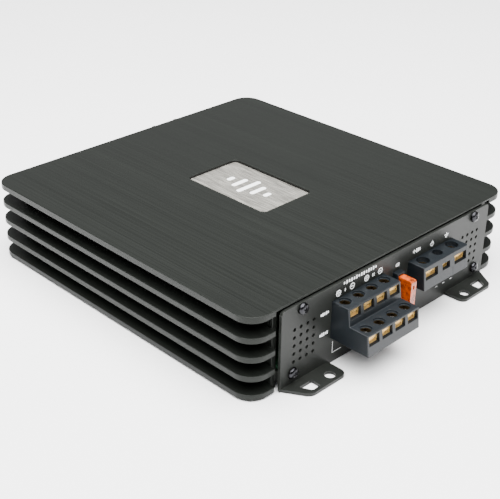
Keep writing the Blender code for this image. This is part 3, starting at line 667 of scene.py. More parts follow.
def finish_of(key):
    """One of the finishes, made the first time it is asked for."""
    looks = bpy.context.scene.amplifier_looks
    mark = f"finish_{key}"
    if mark not in bpy.context.scene:
        bpy.context.scene[mark] = FINISHES[key](looks)
    return bpy.context.scene[mark]


# Housing and nameplate


def grooves():
    """The gaps between the fins, on both sides."""
    tools = []
    levels = [HOUSING_LOW.z + index * FIN_PITCH for index in range(4)]
    roofs = [*levels[1:], HOUSING_HIGH.z - TOP_STRIP]
    for side in (-1, 1):
        for level, roof in zip(levels, roofs):
            xs = (side * FIN_ROOT, side * (HOUSING_HIGH.x + PAST))
            low = (min(xs), HOUSING_LOW.y - PAST, level + FIN_THICKNESS)
            high = (max(xs), HOUSING_HIGH.y + PAST, roof)
            tools.append(new_box("groove", low, high))
    return tools


def ribs():
    """The bottom rails and the screw ports, along the inside of the walls."""
    made = []
    for side in (-1, 1):
        for xs, zs in (RAIL, PORT):
            low_x, high_x = sorted((side * xs[0], side * xs[1]))
            low = (low_x, END_FACE[OUTPUT] + PORT_END, zs[0])
            high = (high_x, END_FACE[INPUT] - PORT_END, zs[1])
            made.append(new_box("rib", low, high))
    return made


def build_housing(looks):
    body = new_box("finned_housing", HOUSING_LOW, HOUSING_HIGH)
    round_upright(body, looks.plan_corner, 14)
    channel = new_box(
        "channel",
        (-INNER_HALF, HOUSING_LOW.y - PAST, HOUSING_LOW.z - PAST),
        (INNER_HALF, HOUSING_HIGH.y + PAST, CEILING),
    )
    combine(body, [*grooves(), channel])
    combine(
        body,
        [
            end_box("notch", end, (-FIN_ROOT, FIN_ROOT), (-NOTCH_DEPTH, PAST), (-PAST, NOTCH_TOP))
            for end in (OUTPUT, INPUT)
        ],
    )
    combine(body, ribs(), "UNION")
    low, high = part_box("nameplate")
    margin = Vector((POCKET_GAP, POCKET_GAP, 0))
    rim = (*(high + margin).xy, HOUSING_HIGH.z + PAST)
    pocket = new_box("pocket", (*(low - margin).xy, POCKET_FLOOR), rim)
    round_upright(pocket, POCKET_CORNER, 8)
    combine(body, [pocket])
    round_edges(body, looks.fin_edge, 3, 40)
    drills = []
    depth, radius = SCREW_DRILL
    for end in (OUTPUT, INPUT):
        for side in (-1, 1):
            for x, z in SCREW_PLACES:
                start = (side * x, end_y(end, PAST), z)
                stop = (side * x, end_y(end, -depth), z)
                drills.append(new_cylinder("drill", start, stop, radius, 20))
    depth, radius = COVER_DRILL
    for side in (-1, 1):
        for x, y in COVER_SCREW_PLACES:
            drills.append(new_cylinder("drill", (side * x, y, -PAST), (side * x, y, depth), radius, 20))
    combine(body, drills)
    dress(body, finish_of("anodised"), "chassis", ["heatsink_housing"])
    # The recess's walls and floor take the darker milled finish, painted shade in the recess.
    body.data.materials.append(finish_of("recess"))
    reach = POCKET_GAP + 0.0001
    for face in body.data.polygons:
        x, y, z = face.center
        within = low.x - reach < x < high.x + reach and low.y - reach < y < high.y + reach
        if within and z < POCKET_RIM:
            face.material_index = 1


def build_nameplate():
    low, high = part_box("nameplate")
    plate = new_box("satin_nameplate", low, high)
    round_upright(plate, NAMEPLATE_CORNER, 8)
    round_edges(plate, 0.00010, 2, 60)
    pick(plate, "polygons", lambda corner: near(corner.z, high.z))
    bpy.ops.mesh.inset(thickness=0.0014)
    bpy.ops.mesh.inset(thickness=0.0003, depth=-0.00006)
    bpy.ops.mesh.inset(thickness=0.0003)
    bpy.ops.mesh.inset(thickness=0.0002, depth=0.00006)
    leave_edit()
    dress(plate, finish_of("silver"), "chassis", ["nameplate"])
    centre = (low + high) / 2
    bars = []
    for index, length in enumerate(BAR_LENGTHS):
        y = centre.y + (index - 2) * BAR_PITCH
        start = (-length / 2, y - BAR_HALF_WIDTH, high.z - 0.0001)
        bar = new_box("bar", start, (length / 2, y + BAR_HALF_WIDTH, high.z + INK))
        round_upright(bar, BAR_HALF_WIDTH - 0.0001, 6)
        bars.append(bar)
    dress(joined(bars), finish_of("ink")).name = "nameplate_level_bars"


# End plates


def build_foot(end, side):
    xs = (side * FOOT_INNER, side * FOOT_OUTER)
    foot = end_box("foot", end, xs, (PLATE_FACE - 0.0006, FOOT_REACH), (0.0, SHEET))
    far = end_y(end, FOOT_REACH)
    shift = side * (FOOT_FAR_OUTER - FOOT_OUTER)
    move_picked(foot, lambda corner: near(corner.y, far) and near(corner.x, side * FOOT_OUTER), (shift, 0, 0))
    for x, radius in FOOT_CORNERS:
        round_picked(foot, lambda corner, x=x: near(corner.y, far) and near(corner.x, side * x), radius, 8)
    return foot


def foot_slot(end, side):
    inner, outer, far_outer, start, stop = FOOT_SLOT
    slot = end_box("slot", end, (side * inner, side * outer), (start, stop), (-PAST, SHEET + PAST))
    far = end_y(end, stop)
    shift = side * (far_outer - outer)
    move_picked(slot, lambda corner: near(corner.y, far) and near(corner.x, side * outer), (shift, 0, 0))
    round_upright(slot, 0.0006, 4)
    return slot


def through(end, x, z, radius, sides=24):
    return new_cylinder("drill", (x, end_y(end, PAST), z), (x, end_y(end, -PAST), z), radius, sides)


def windows_of(end):
    """Openings in the plate round what passes through it."""
    bottoms = {"speaker_terminal_block": SPEAKER_TIERS[0][0], "power_terminal_block": POWER_TIERS[0][0]}
    made = []
    for node in JACKS if end == INPUT else (*bottoms, "fuse_holder"):
        low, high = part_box(node)
        xs = (low.x - WINDOW_GAP, high.x + WINDOW_GAP)
        zs = (bottoms.get(node, low.z) - WINDOW_GAP, high.z + WINDOW_GAP)
        made.append(end_box("window", end, xs, (-PAST, PAST), zs))
    return made


def build_end_plate(end):
    name = END_NAMES[end]
    low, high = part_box(f"{name}_end_plate")
    plate = end_box(f"{name}_plate", end, (low.x, high.x), (PLATE_BACK, PLATE_FACE), (0.0, high.z))
    for x in (low.x, high.x):
        round_picked(plate, lambda corner, x=x: near(corner.x, x) and near(corner.z, high.z), PLATE_CORNER, 8)
    combine(plate, [build_foot(end, -1), build_foot(end, 1)], "UNION")
    back = end_y(end, PLATE_BACK)
    round_picked(plate, lambda corner: near(corner.y, back) and near(corner.z, 0.0), 0.0012, 5)
    face = end_y(end, PLATE_FACE)
    round_picked(plate, lambda corner: near(corner.y, face) and near(corner.z, SHEET), 0.0007, 4)
    tools = windows_of(end)
    for side in (-1, 1):
        tools.append(foot_slot(end, side))
        x, reach, radius = FOOT_HOLE
        y = end_y(end, reach)
        tools.append(new_cylinder("drill", (side * x, y, -PAST), (side * x, y, PAST), radius, 32))
        tools += [through(end, side * x, z, 0.0017) for x, z in SCREW_PLACES]
        tools += [through(end, side * x, z, VENT_RADIUS) for x in VENT_X for z in VENT_Z]
    if end == INPUT:
        for knob in KNOBS:
            tools.append(through(end, middle(knob).x, middle(knob).z, 0.0035, 32))
        light = middle("power_light")
        tools.append(through(end, light.x, light.z, 0.0018))
        half = SWITCH_OPENING / 2
        z = middle("front_filter_switch").z
        zs = (z - SWITCH_PATH_HALF, z + SWITCH_PATH_HALF)
        for x in SWITCH_X:
            tools.append(end_box("window", end, (x - half, x + half), (-PAST, PAST), zs))
    combine(plate, tools)
    round_edges(plate, 0.00014, 2, 40, clamp=True)
    dress(plate, finish_of("powder"), "chassis", [f"{name}_end_plate"])


# Printed symbols


class Printer:
    """Collects thin shapes of ink on an end plate."""

    def __init__(self, end):
        self.end = end
        self.shapes = []
        self.reaches = (PLATE_FACE - 0.0001, PLATE_FACE + INK)
        self.back, self.front = (end_y(end, reach) for reach in self.reaches)

    def bar(self, x, z, width, height, turn=0.0):
        shape = end_box("ink", self.end, (-width / 2, width / 2), self.reaches, (-height / 2, height / 2))
        shape.matrix_world = Matrix.Translation((x, 0, z)) @ Matrix.Rotation(turn, 4, "Y")
        self.shapes.append(settle(shape))

    def plus(self, x, z, size, line):
        self.bar(x, z, size, line)
        self.bar(x, z, line, size)

    def ring(self, x, z, radius, line, sides=32):
        ring = new_cylinder("ink", (x, self.back, z), (x, self.front, z), radius, sides)
        hole = new_cylinder("ink", (x, self.back - PAST, z), (x, self.front + PAST, z), radius - line, sides)
        self.shapes.append(combine(ring, [hole]))

    def dot(self, x, z, radius):
        self.shapes.append(new_cylinder("ink", (x, self.back, z), (x, self.front, z), radius, 20))

    def finish(self, name):
        piece = joined(self.shapes)
        piece.name = name
        dress(piece, finish_of("ink"))


def print_output_symbols():
    ink = Printer(OUTPUT)
    for x in (-0.0402, -0.0206):
        ink.ring(x, BADGE_Z, 0.00165, 0.00045)
        ink.plus(x, BADGE_Z, 0.0019, 0.0005)
    for x in (-0.0307, -0.0107):
        ink.ring(x, BADGE_Z, 0.00165, 0.00040)
        ink.bar(x, BADGE_Z, 0.0018, 0.0005)
    for x, count in ((-0.0357, 1), (-0.0158, 2)):
        for index in range(count):
            ink.bar(x + (index - (count - 1) / 2) * 0.0010, BADGE_Z, 0.0005, 0.0017)
    for index, height in enumerate((6, 10, 8, 10, 7, 10, 6, 9, 10, 7, 10, 8, 10, 6)):
        ink.bar(-0.0364 + index * 0.0017, STRIP_Z, 0.00090, height * 0.00018)
    ink.bar(0.0024, FUSE_MARK_Z, 0.0030, 0.0003)
    for z in (0.0335, 0.0349):
        ink.bar(0.0024, z, 0.0022, 0.0003)
    for x in (0.0013, 0.0035):
        ink.bar(x, FUSE_MARK_Z, 0.0003, 0.0017)
    ink.plus(0.0150, SUPPLY_MARK_Z, 0.0020, 0.0006)
    for index in range(3):
        ink.bar(0.0170 + index * 0.0012, SUPPLY_MARK_Z, 0.0008, 0.0022 - 0.0003 * index)
    ink.ring(0.0293, 0.0356, 0.0013, 0.00035)
    ink.bar(0.0293, SUPPLY_MARK_Z, 0.00040, 0.0016)
    ink.bar(0.0410, 0.0372, 0.00040, 0.0012)
    for index, width in enumerate((0.0034, 0.0023, 0.0012)):
        ink.bar(0.0410, SUPPLY_MARK_Z - index * 0.00075, width, 0.00040)
    for z, count in ((0.0292, 1), (0.0184, 2)):
        for index in range(5):
            tall = 0.0017 if index % (count + 1) else 0.0012
            ink.bar(-0.0514 + index * 0.00115, z, 0.00075, tall)
    ink.bar(-0.0425, 0.0083, 0.00025, 0.0062)
    ink.bar(-0.0393, 0.0053, 0.0062, 0.00025)
    for x in (0.0370, 0.0430, 0.0494):
        ink.bar(x, 0.0080, 0.0016, 0.0003)
    ink.finish("output_plate_symbols")


def print_input_symbols():
    ink = Printer(INPUT)
    for knob in KNOBS:
        centre = middle(knob)
        for index in range(7):
            angle = math.radians(-135 + 45 * index)
            x, z = centre.x + 0.0050 * math.sin(angle), centre.z + 0.0050 * math.cos(angle)
            ink.bar(x, z, 0.0004, 0.0012, angle)
        ink.bar(centre.x, centre.z - 0.0062, 0.0040, 0.0004)
    for x in SWITCH_X:
        for side in (-1, 1):
            ink.bar(x + side * 0.0026, 0.0312, 0.0005, 0.0014)
    for node in JACKS:
        low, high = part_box(node)
        ink.bar((low.x + high.x) / 2, 0.0098, 0.0100, 0.0004)
        ink.dot((low.x + high.x) / 2, 0.0082, 0.0006)
    light = middle("power_light")
    ink.ring(light.x, light.z, 0.0029, 0.0003)
    ink.finish("input_plate_symbols")


# Screws


def pan_head(name, head, shank, length):
    """A pan-head screw that points up, its seat at height 0, with a tapered cross recess."""
    height = head * 0.62
    steps = [
        (shank * 0.7, -length),
        (shank, -length + shank * 0.4),
        (shank, 0.0),
        (head * 0.97, 0.0),
        (head, height * 0.08),
        (head * 0.98, height * 0.34),
        (head * 0.90, height * 0.62),
        (head * 0.74, height * 0.83),
        (head * 0.48, height * 0.96),
        (head * 0.20, height),
    ]
    screw = turned(name, steps, 36)
    arm, slot = head * 0.54, head * 0.12
    for sizes in ((arm, slot), (slot, arm)):
        low, high = (-sizes[0], -sizes[1], height * 0.35), (*sizes, height + 0.001)
        tool = new_box("recess", low, high)
        pick(tool, "vertices", lambda corner: corner.z < height * 0.5)
        bpy.ops.transform.resize(value=(0.55, 0.55, 1.0), center_override=(0, 0, height * 0.35))
        leave_edit()
        combine(screw, [tool])
    return round_edges(screw, 0.00005, 1, 50)


def place_screws():
    plate_screw = pan_head("plate_screw", 0.0029, 0.0012, 0.0105)
    spin = 0.3
    for end, facing in ((OUTPUT, (0, -1, 0)), (INPUT, (0, 1, 0))):
        for level in ("upper", "lower"):
            for hand in ("left", "right"):
                node = f"{END_NAMES[end]}_plate_screw_{level}_{hand}"
                centre = middle(node)
                spin += 0.9
                screw = copied(plate_screw, f"screw_{END_NAMES[end]}_{level}_{hand}")
                stand(screw, (centre.x, end_y(end, PLATE_FACE + 0.0003), centre.z), facing, spin)
                dress(screw, finish_of("screw_black"), "chassis", [node])
    bpy.data.objects.remove(plate_screw, do_unlink=True)
    cover_screw = pan_head("cover_screw", 0.0024, 0.0011, 0.0052)
    for row in ("front", "rear"):
        for hand in ("left", "right"):
            node = f"cover_screw_{row}_{hand}"
            centre = middle(node)
            spin += 1.1
            screw = copied(cover_screw, f"screw_cover_{row}_{hand}")
            stand(screw, (centre.x, centre.y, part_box("bottom_cover")[0].z - 0.0003), (0, 0, -1), spin)
            dress(screw, finish_of("zinc"), "chassis", [node])
    bpy.data.objects.remove(cover_screw, do_unlink=True)


# Terminals


def pole(name):
    """What one terminal's parts say about its chamber, read from its screw and its clamp."""
    screw_low, screw_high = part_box(f"terminal_screw_{name}")
    clamp_low, clamp_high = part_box(f"wire_clamp_{name}")
    head = (screw_high.x - screw_low.x) / 2
    reach = END_FACE[OUTPUT] - (screw_low.y + screw_high.y) / 2
    floor = clamp_low.z - 0.0004
    return {
        "name": name,
        "x": (screw_low.x + screw_high.x) / 2,
        "reach": reach,
        "half": (clamp_high.x - clamp_low.x) / 2 + 0.0006,
        "head": head,
        "back": END_FACE[OUTPUT] - clamp_high.y - 0.0005,
        "front": END_FACE[OUTPUT] - clamp_low.y + 0.0006,
        "floor": floor,
        "roof": floor + (REMOTE_ROOM_HEIGHT if name == "remote" else ROOM_HEIGHT),
        "base": screw_low.z,
    }


def tier_box(x_range, tier):
    """One step of a block, its front leaning back towards the top."""
    bottom, top, front_low, front_high = tier
    step = end_box("tier", OUTPUT, x_range, (BLOCK_BEHIND, front_low), (bottom, top))
    front = end_y(OUTPUT, front_low)
    lean = (0, front_low - front_high, 0)
    move_picked(step, lambda corner: near(corner.y, front) and near(corner.z, top), lean)
    return step


def build_block(node, name, tiers, poles, edge, seam=None):
    """A terminal block with a mouth, a screw well and a chamber for each pole, and a seam if it has one."""
    low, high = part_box(node)
    xs = (low.x, high.x)
    block = tier_box(xs, tiers[0])
    block.name = name
    for tier in tiers[1:]:
        combine(block, [tier_box(xs, tier)], "UNION")
    round_edges(block, edge, 3, 30)
    rooms, mouths, wells, bores = [], [], [], []
    for item in map(pole, poles):
        left, right = item["x"] - item["half"], item["x"] + item["half"]
        reaches, heights = (item["back"], item["front"]), (item["floor"], item["roof"])
        rooms.append(end_box("room", OUTPUT, (left, right), reaches, heights))
        reaches = (item["front"] - 0.0004, item["front"] + PAST)
        heights = (item["floor"] + 0.0006, item["roof"] + 0.0002)
        mouths.append(end_box("mouth", OUTPUT, (left + 0.0001, right - 0.0001), reaches, heights))
        y = end_y(OUTPUT, item["reach"])
        top = next(tier[1] for tier in tiers if item["base"] < tier[1]) + 0.001
        ledge = (item["x"], y, item["roof"] + 0.00035)
        wells.append(new_cylinder("well", ledge, (item["x"], y, top), item["head"] + 0.00045, 40))
        below = (item["x"], y, item["roof"] - 0.0004)
        bores.append(new_cylinder("bore", below, (item["x"], y, top), item["head"] + 0.00015, 40))
    if seam:
        xs = (seam - 0.0001, seam + 0.0001)
        mouths.append(end_box("seam", OUTPUT, xs, (0.0114, 0.0140), (0.0190, 0.0340)))
    combine(block, mouths)
    combine(block, wells)
    combine(block, bores)
    round_edges(block, 0.00014, 2, 50, clamp=True)
    xs = (low.x + 0.0002, high.x - 0.0002)
    inside = end_box("inside", OUTPUT, xs, (BLOCK_INSIDE, 0.0004), (low.z, high.z - 0.0005))
    combine(block, [inside], "UNION")
    combine(block, rooms)
    return block


def build_cage(item):
    """The fixed brass contact: a sheet box, open at the front, with a bridge that the screw runs through.
    Every face but the outer front wall is near-black brass, painted shade inside the cage.
    """
    half = item["half"] - 0.0001
    inner = half - CAGE_WALL
    bridge = item["roof"] - 0.0006
    reaches = (item["back"] + 0.0001, item["front"] - 0.0001)
    heights = (item["floor"] + 0.00005, item["roof"] - 0.0001)
    x = item["x"]
    cage = end_box(f"contact_{item['name']}", OUTPUT, (x - half, x + half), reaches, heights)
    back, front = reaches[0] + CAGE_WALL, reaches[1] - CAGE_WALL
    zs = (heights[0] + CAGE_WALL, bridge)
    combine(cage, [end_box("hollow", OUTPUT, (x - inner, x + inner), (back, front), zs)])
    sill = item["floor"] + 0.0009
    lintel = sill + 0.42 * (item["roof"] - sill)
    mouth_x = (x - inner + 0.0004, x + inner - 0.0004)
    mouth = end_box("mouth", OUTPUT, mouth_x, (reaches[1] - 0.0006, reaches[1] + PAST), (sill, lintel))
    combine(cage, [mouth])
    dimples = []
    depths = (reaches[1] - DIMPLE_DEPTH, reaches[1] + PAST)
    for column in range(4):
        left = mouth_x[0] + (column + 0.12) * (mouth_x[1] - mouth_x[0]) / 4
        right = left + 0.72 * (mouth_x[1] - mouth_x[0]) / 4
        for row in range(2):
            low = lintel + 0.00035 + row * 0.0010 + 0.00018 * (column % 2)
            if low + 0.0006 < item["roof"] - 0.0004:
                zs = (low, low + DIMPLE_HEIGHT)
                dimples.append(end_box("dimple", OUTPUT, (left, right), depths, zs))
    combine(cage, dimples)
    y = end_y(OUTPUT, item["reach"])
    radius = min(item["head"] + 0.00045, inner - 0.0001)
    bore = new_cylinder("bore", (x, y, bridge - 0.001), (x, y, item["roof"] + 0.001), radius, 32)
    combine(cage, [bore])
    round_edges(cage, 0.00005, 1, 50)
    dress(cage, finish_of("brass"), "chassis")
    # All faces but the outer front wall take the near-black brass: painted shade inside the cage and its bore.
    cage.data.materials.append(finish_of("tarnish"))
    front_wall = end_y(OUTPUT, reaches[1] - CAGE_WALL + 0.00005)
    for face in cage.data.polygons:
        if face.center.y > front_wall:
            face.material_index = 1


def build_clamp(item):
    """The moving plate, with a serrated top and a lip at its front."""
    low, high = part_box(f"wire_clamp_{item['name']}")
    plate = new_box(f"clamp_plate_{item['name']}", low, (high.x, high.y, low.z + CLAMP_THICKNESS))
    lip = new_box("lip", (low.x, low.y, low.z), (high.x, low.y + CLAMP_THICKNESS, high.z))
    combine(plate, [lip], "UNION")
    round_edges(plate, 0.00012, 2, 50)
    teeth = []
    step = (high.x - low.x) / 6
    for index in range(1, 6):
        x = low.x + index * step
        start = (x - 0.0002, low.y - 0.001, high.z - 0.0004)
        teeth.append(new_box("tooth", start, (x + 0.0002, low.y + 0.0012, high.z + 0.001)))
    combine(plate, teeth)
    dress(plate, finish_of("brass"), f"clamp_{item['name']}", [f"wire_clamp_{item['name']}"])


def build_terminal_screw(item, spin):
    """A slotted set screw with its thread's crests."""
    head = item["head"]
    node = f"terminal_screw_{item['name']}"
    low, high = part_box(node)
    tall = high.z - low.z
    steps = [(head * 0.66, 0.0), (head * 0.70, 0.0001), (head * 0.70, 0.0004), (head * 0.92, 0.0005)]
    for index in range(4):
        level = 0.00055 + index * 0.00030
        steps += [(head, level + 0.00008), (head * 0.95, level + 0.00022)]
    steps += [(head, tall - 0.00022), (head - 0.00022, tall)]
    screw = turned(f"set_screw_{item['name']}", steps, 40)
    slot = new_box("slot", (-0.006, -0.0004, tall - 0.0009), (0.006, 0.0004, tall + 0.001))
    combine(screw, [slot])
    round_edges(screw, 0.00004, 1, 50)
    stand(screw, (item["x"], (low.y + high.y) / 2, low.z), (0, 0, 1), spin)
    dress(screw, finish_of("nickel"), f"screw_{item['name']}", [node])


def build_terminals(looks):
    for name, tiers, poles, seam in (
        ("speaker", SPEAKER_TIERS, SPEAKER_POLES, None),
        ("power", POWER_TIERS, POWER_POLES, POWER_SEAM_X),
    ):
        node = f"{name}_terminal_block"
        block = build_block(node, f"{name}_block", tiers, poles, looks.block_edge, seam)
        dress(block, finish_of("block"), "chassis", [node])
    for index, name in enumerate(SPEAKER_POLES + POWER_POLES):
        item = pole(name)
        build_cage(item)
        build_clamp(item)
        build_terminal_screw(item, 0.35 + 1.3 * index)


# Fuse


def blade_heights(low, high):
    """The height range of each of the fuse's two blades."""
    return ((low.z, low.z + BLADE_HEIGHT), (high.z - BLADE_HEIGHT, high.z))


def build_fuse():
    low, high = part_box("fuse_holder")
    holder = new_box("fuse_socket", low, high)
    round_edges(holder, 0.0003, 3)
    body_low, body_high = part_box("blade_fuse_body")
    gap = Vector((0.0003, 0.0003, 0.0003))
    pocket = new_box("pocket", body_low - gap, body_high + gap)
    move_picked(pocket, lambda corner: corner.y < body_low.y, (0, -PAST, 0))
    combine(holder, [pocket])
    blade_low, blade_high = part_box("blade_fuse_element")
    slots = []
    for bottom, top in blade_heights(blade_low, blade_high):
        inner = (blade_low.x - 0.0003, body_high.y - 0.0005, bottom - 0.0003)
        slots.append(new_box("slot", inner, (blade_high.x + 0.0003, blade_high.y + 0.0006, top + 0.0003)))
    combine(holder, slots)
    dress(holder, finish_of("block"), "chassis", ["fuse_holder"])

    shell = new_box("fuse_shell", body_low, body_high)
    for z in (body_low.z, body_high.z):
        round_picked(shell, lambda corner, z=z: near(corner.y, body_low.y) and near(corner.z, z), 0.0012, 5)
    for x in (body_low.x, body_high.x):
        pick(shell, "polygons", lambda corner, x=x: near(corner.x, x))
        bpy.ops.mesh.inset(thickness=0.0011)
        bpy.ops.mesh.inset(thickness=0.0003, depth=-0.0004)
        leave_edit()
    centre = (body_low + body_high) / 2
    inside = new_box(
        "inside",
        (centre.x - FUSE_ROOM_HALF, body_low.y + 0.0026, body_low.z + FUSE_ROOM_HALF),
        (centre.x + FUSE_ROOM_HALF, body_high.y + PAST, body_high.z - FUSE_ROOM_HALF),
    )
    combine(shell, [inside])
    tests = []
    for z in (centre.z - 0.0060, centre.z + 0.0060):
        start = (centre.x - 0.0005, body_low.y - PAST, z - 0.0011)
        tests.append(new_box("test", start, (centre.x + 0.0005, body_low.y + 0.0012, z + 0.0011)))
    combine(shell, tests)
    round_edges(shell, 0.00012, 2, 40, clamp=True)
    dress(shell, finish_of("amber"), "fuse", ["blade_fuse_body"])
    build_fuse_element(centre, blade_low, blade_high)


def build_fuse_element(centre, low, high):
    """Two blades and the necked link between them."""
    parts = []
    for bottom, top in blade_heights(low, high):
        blade = new_box("blade", (low.x, low.y, bottom), (high.x, high.y, top))
        round_picked(blade, lambda corner: near(corner.y, high.y), 0.0007, 3)
        parts.append(blade)
    link = new_box("link", (low.x, low.y + 0.0012, low.z + 0.004), (high.x, low.y + 0.0030, high.z - 0.004))
    element = combine(parts[0], [parts[1]], "UNION")
    combine(element, [link], "UNION")
    notches = []
    for offset, y in ((-0.0012, low.y + 0.0012), (0.0012, low.y + 0.0030)):
        z = centre.z + offset
        notches.append(new_cylinder("notch", (low.x - 0.001, y, z), (high.x + 0.001, y, z), 0.0007, 20))
    combine(element, notches)
    round_edges(element, 0.00005, 1, 50)
    element.name = "fuse_link"
    dress(element, finish_of("nickel"), "fuse", ["blade_fuse_element"])


# Input end


def build_jacks():
    for node in JACKS:
        low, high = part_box(node)
        face = end_y(INPUT, JACK_FACE)
        centre_x = (low.x + high.x) / 2
        body = new_box(node.replace("_block", "_body"), low, (high.x, face, high.z))
        round_edges(body, 0.0005, 3)
        rims = []
        for z in JACK_LEVELS:
            start, stop = (centre_x, face - 0.0004, z), (centre_x, face + 0.001, z)
            rims.append(new_cylinder("rim", start, stop, JACK_RADIUS + 0.0012, 40))
        combine(body, rims)
        dress(body, finish_of("jack"), "chassis", [node])
        for z, color, level in zip(JACK_LEVELS, ("red", "white"), ("lower", "upper")):
            place = (centre_x, face, z)
            length = high.y - face
            outer = JACK_RADIUS
            steps = [
                (outer + 0.0006, -0.0003),
                (outer + 0.0006, 0.0008),
                (outer, 0.0010),
                (outer, length - 0.0004),
                (outer - 0.0003, length),
                (outer - 0.0008, length),
                (outer - 0.0009, length - 0.0004),
                (outer - 0.0009, 0.0012),
            ]
            sleeve = stand(turned(f"{node[:-6]}_sleeve_{level}", steps, 40), place, (0, 1, 0))
            dress(sleeve, finish_of("nickel"), "chassis")
            steps = [
                (outer - 0.0010, 0.0013),
                (outer - 0.0010, length - 0.0012),
                (outer - 0.0013, length - 0.0009),
                (0.0021, length - 0.0009),
                (0.0018, length - 0.0012),
                (0.0018, 0.0030),
            ]
            core = stand(turned(f"{node[:-6]}_core_{level}", steps, 40), place, (0, 1, 0))
            dress(core, finish_of(color), "chassis")


def build_controls():
    for node in KNOBS:
        low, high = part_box(node)
        centre = (low + high) / 2
        radius = (high.x - low.x) / 2
        length = high.y - low.y
        steps = [
            (radius, 0.0),
            (radius, length - 0.0018),
            (radius * 0.90, length - 0.0016),
            (radius * 0.90, length - 0.0005),
            (radius * 0.80, length),
            (radius * 0.60, length),
            (radius * 0.55, length - 0.0003),
        ]
        knob = turned(node.replace("_knob", "_dial"), steps, 40)
        slot = new_box("slot", (-0.0004, -0.0030, length - 0.0012), (0.0004, 0.0020, length + 0.001))
        combine(knob, [slot])
        round_edges(knob, 0.00006, 1, 50)
        stand(knob, (centre.x, low.y, centre.z), (0, 1, 0))
        dress(knob, finish_of("control"), node.replace("_knob", "_control"), [node])
    for node, x in zip(("front_filter_switch", "rear_filter_switch"), SWITCH_X):
        low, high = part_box(node)
        button = new_box(node.replace("_switch", "_button"), low, high)
        round_edges(button, 0.0003, 3)
        cuts = []
        for index in range(3):
            cut_x = low.x + (index + 0.75) * (high.x - low.x) / 3.5
            start = (cut_x - 0.00022, high.y - 0.0005, low.z - 0.001)
            cuts.append(new_box("cut", start, (cut_x + 0.00022, high.y + 0.001, high.z + 0.001)))
        combine(button, cuts)
        dress(button, finish_of("control"), f"{node}_slider", [node])
        z = (low.z + high.z) / 2
        xs, zs = (x - 0.0060, x + 0.0060), (z - 0.0036, z + 0.0036)
        case = end_box(f"{node}_case", INPUT, xs, (-0.0080, -0.0006), zs)
        round_edges(case, 0.0003, 2)
        xs, zs = (x - 0.0043, x + 0.0043), (z - SWITCH_PATH_HALF, z + SWITCH_PATH_HALF)
        path = end_box("path", INPUT, xs, (-0.0044, PAST), zs)
        combine(case, [path])
        dress(case, finish_of("nickel"), "chassis")
    low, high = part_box("power_light")
    centre, radius, length = (low + high) / 2, (high.x - low.x) / 2, high.y - low.y
    steps = [
        (radius, 0.0),
        (radius, length - 0.0013),
        (radius * 0.92, length - 0.0007),
        (radius * 0.7, length - 0.00025),
        (radius * 0.35, length),
    ]
    light = stand(turned("light_lens", steps, 32), (centre.x, low.y, centre.z), (0, 1, 0))
    dress(light, finish_of("lens"), "chassis", ["power_light"])


# Inside and underside


def finish_inside():
    """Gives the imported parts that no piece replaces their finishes."""
    kept = {
        "bottom_cover": "zinc",
        "circuit_board": "laminate",
        "toroid_transformer": "winding",
        "filter_capacitor_1": "sleeve",
        "filter_capacitor_2": "sleeve",
        "transistor_clamp_left": "zinc",
        "transistor_clamp_right": "zinc",
    }
    for node, key in kept.items():
        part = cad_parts[node]
        part.data.materials.clear()
        part.data.materials.append(finish_of(key))


# Stage


def area_light(name, place, aim, size, power):
    deselect()
    bpy.ops.object.light_add(type="AREA", location=place)
    lamp = bpy.context.object
    lamp.name = name
    lamp.rotation_euler = (Vector(aim) - Vector(place)).to_track_quat("-Z", "Y").to_euler()
    lamp.data.shape = "RECTANGLE"
    lamp.data.size, lamp.data.size_y = size
    lamp.data.energy = power


def build_stage():
    deselect()
    bpy.ops.mesh.primitive_plane_add(size=8.0, location=(0, 0, -0.0002))
    floor = settle(bpy.context.object)
    floor.name = "pale_floor"
    made, tree, shader = new_finish("pale_floor_paint", (0.90, 0.90, 0.90), 0.7)
    shade = mixed(tree, grain(tree, 6.0), (0.90, 0.90, 0.90), (0.93, 0.93, 0.93))
    tree.links.new(shade, shader.inputs["Base Color"])
    floor.data.materials.append(made)
    world = bpy.data.worlds.new("soft_studio")
    world.use_nodes = True
    background = world.node_tree.nodes["Background"]
    background.inputs["Color"].default_value = (0.95, 0.97, 1.0, 1.0)
    background.inputs["Strength"].default_value = 0.16
    bpy.context.scene.world = world
    area_light("top_softbox", (-0.15, -0.15, 1.1), (0, 0, 0.02), (1.6, 1.6), 115.0)
    area_light("front_softbox", (0.55, -1.0, 0.35), (0.02, -0.1, 0.02), (0.6, 0.5), 1.6)
    area_light("left_softbox", (-1.0, 0.10, 0.35), (-0.1, 0, 0.02), (0.5, 0.5), 0.8)
    area_light("back_softbox", (0.42, 0.60, 0.30), (0.05, 0.10, 0.04), (0.9, 0.35), 0.45)
    camera_data = bpy.data.cameras.new("viewpoint")
    camera_data.lens = CAMERA_LENS
    camera_data.sensor_width = 36.0
    camera = bpy.data.objects.new("viewpoint", camera_data)
    bpy.context.scene.collection.objects.link(camera)
    camera.location = CAMERA_PLACE
    camera.rotation_mode = "QUATERNION"
    roll = Quaternion((0, 0, 1), math.radians(CAMERA_ROLL))
    camera.rotation_quaternion = Vector(CAMERA_AIM).to_track_quat("-Z", "Y") @ roll
    bpy.context.scene.camera = camera


# Operators


class AMPLIFIER_OT_housing(bpy.types.Operator):
    """Model the finned housing"""

    bl_idname = "amplifier.housing"
    bl_label = "Finned housing"

    def execute(self, context):
        build_housing(context.scene.amplifier_looks)
        return {"FINISHED"}


class AMPLIFIER_OT_nameplate(bpy.types.Operator):
    """Model the nameplate and its bars"""

    bl_idname = "amplifier.nameplate"
    bl_label = "Nameplate"

    def execute(self, context):
        build_nameplate()
        return {"FINISHED"}


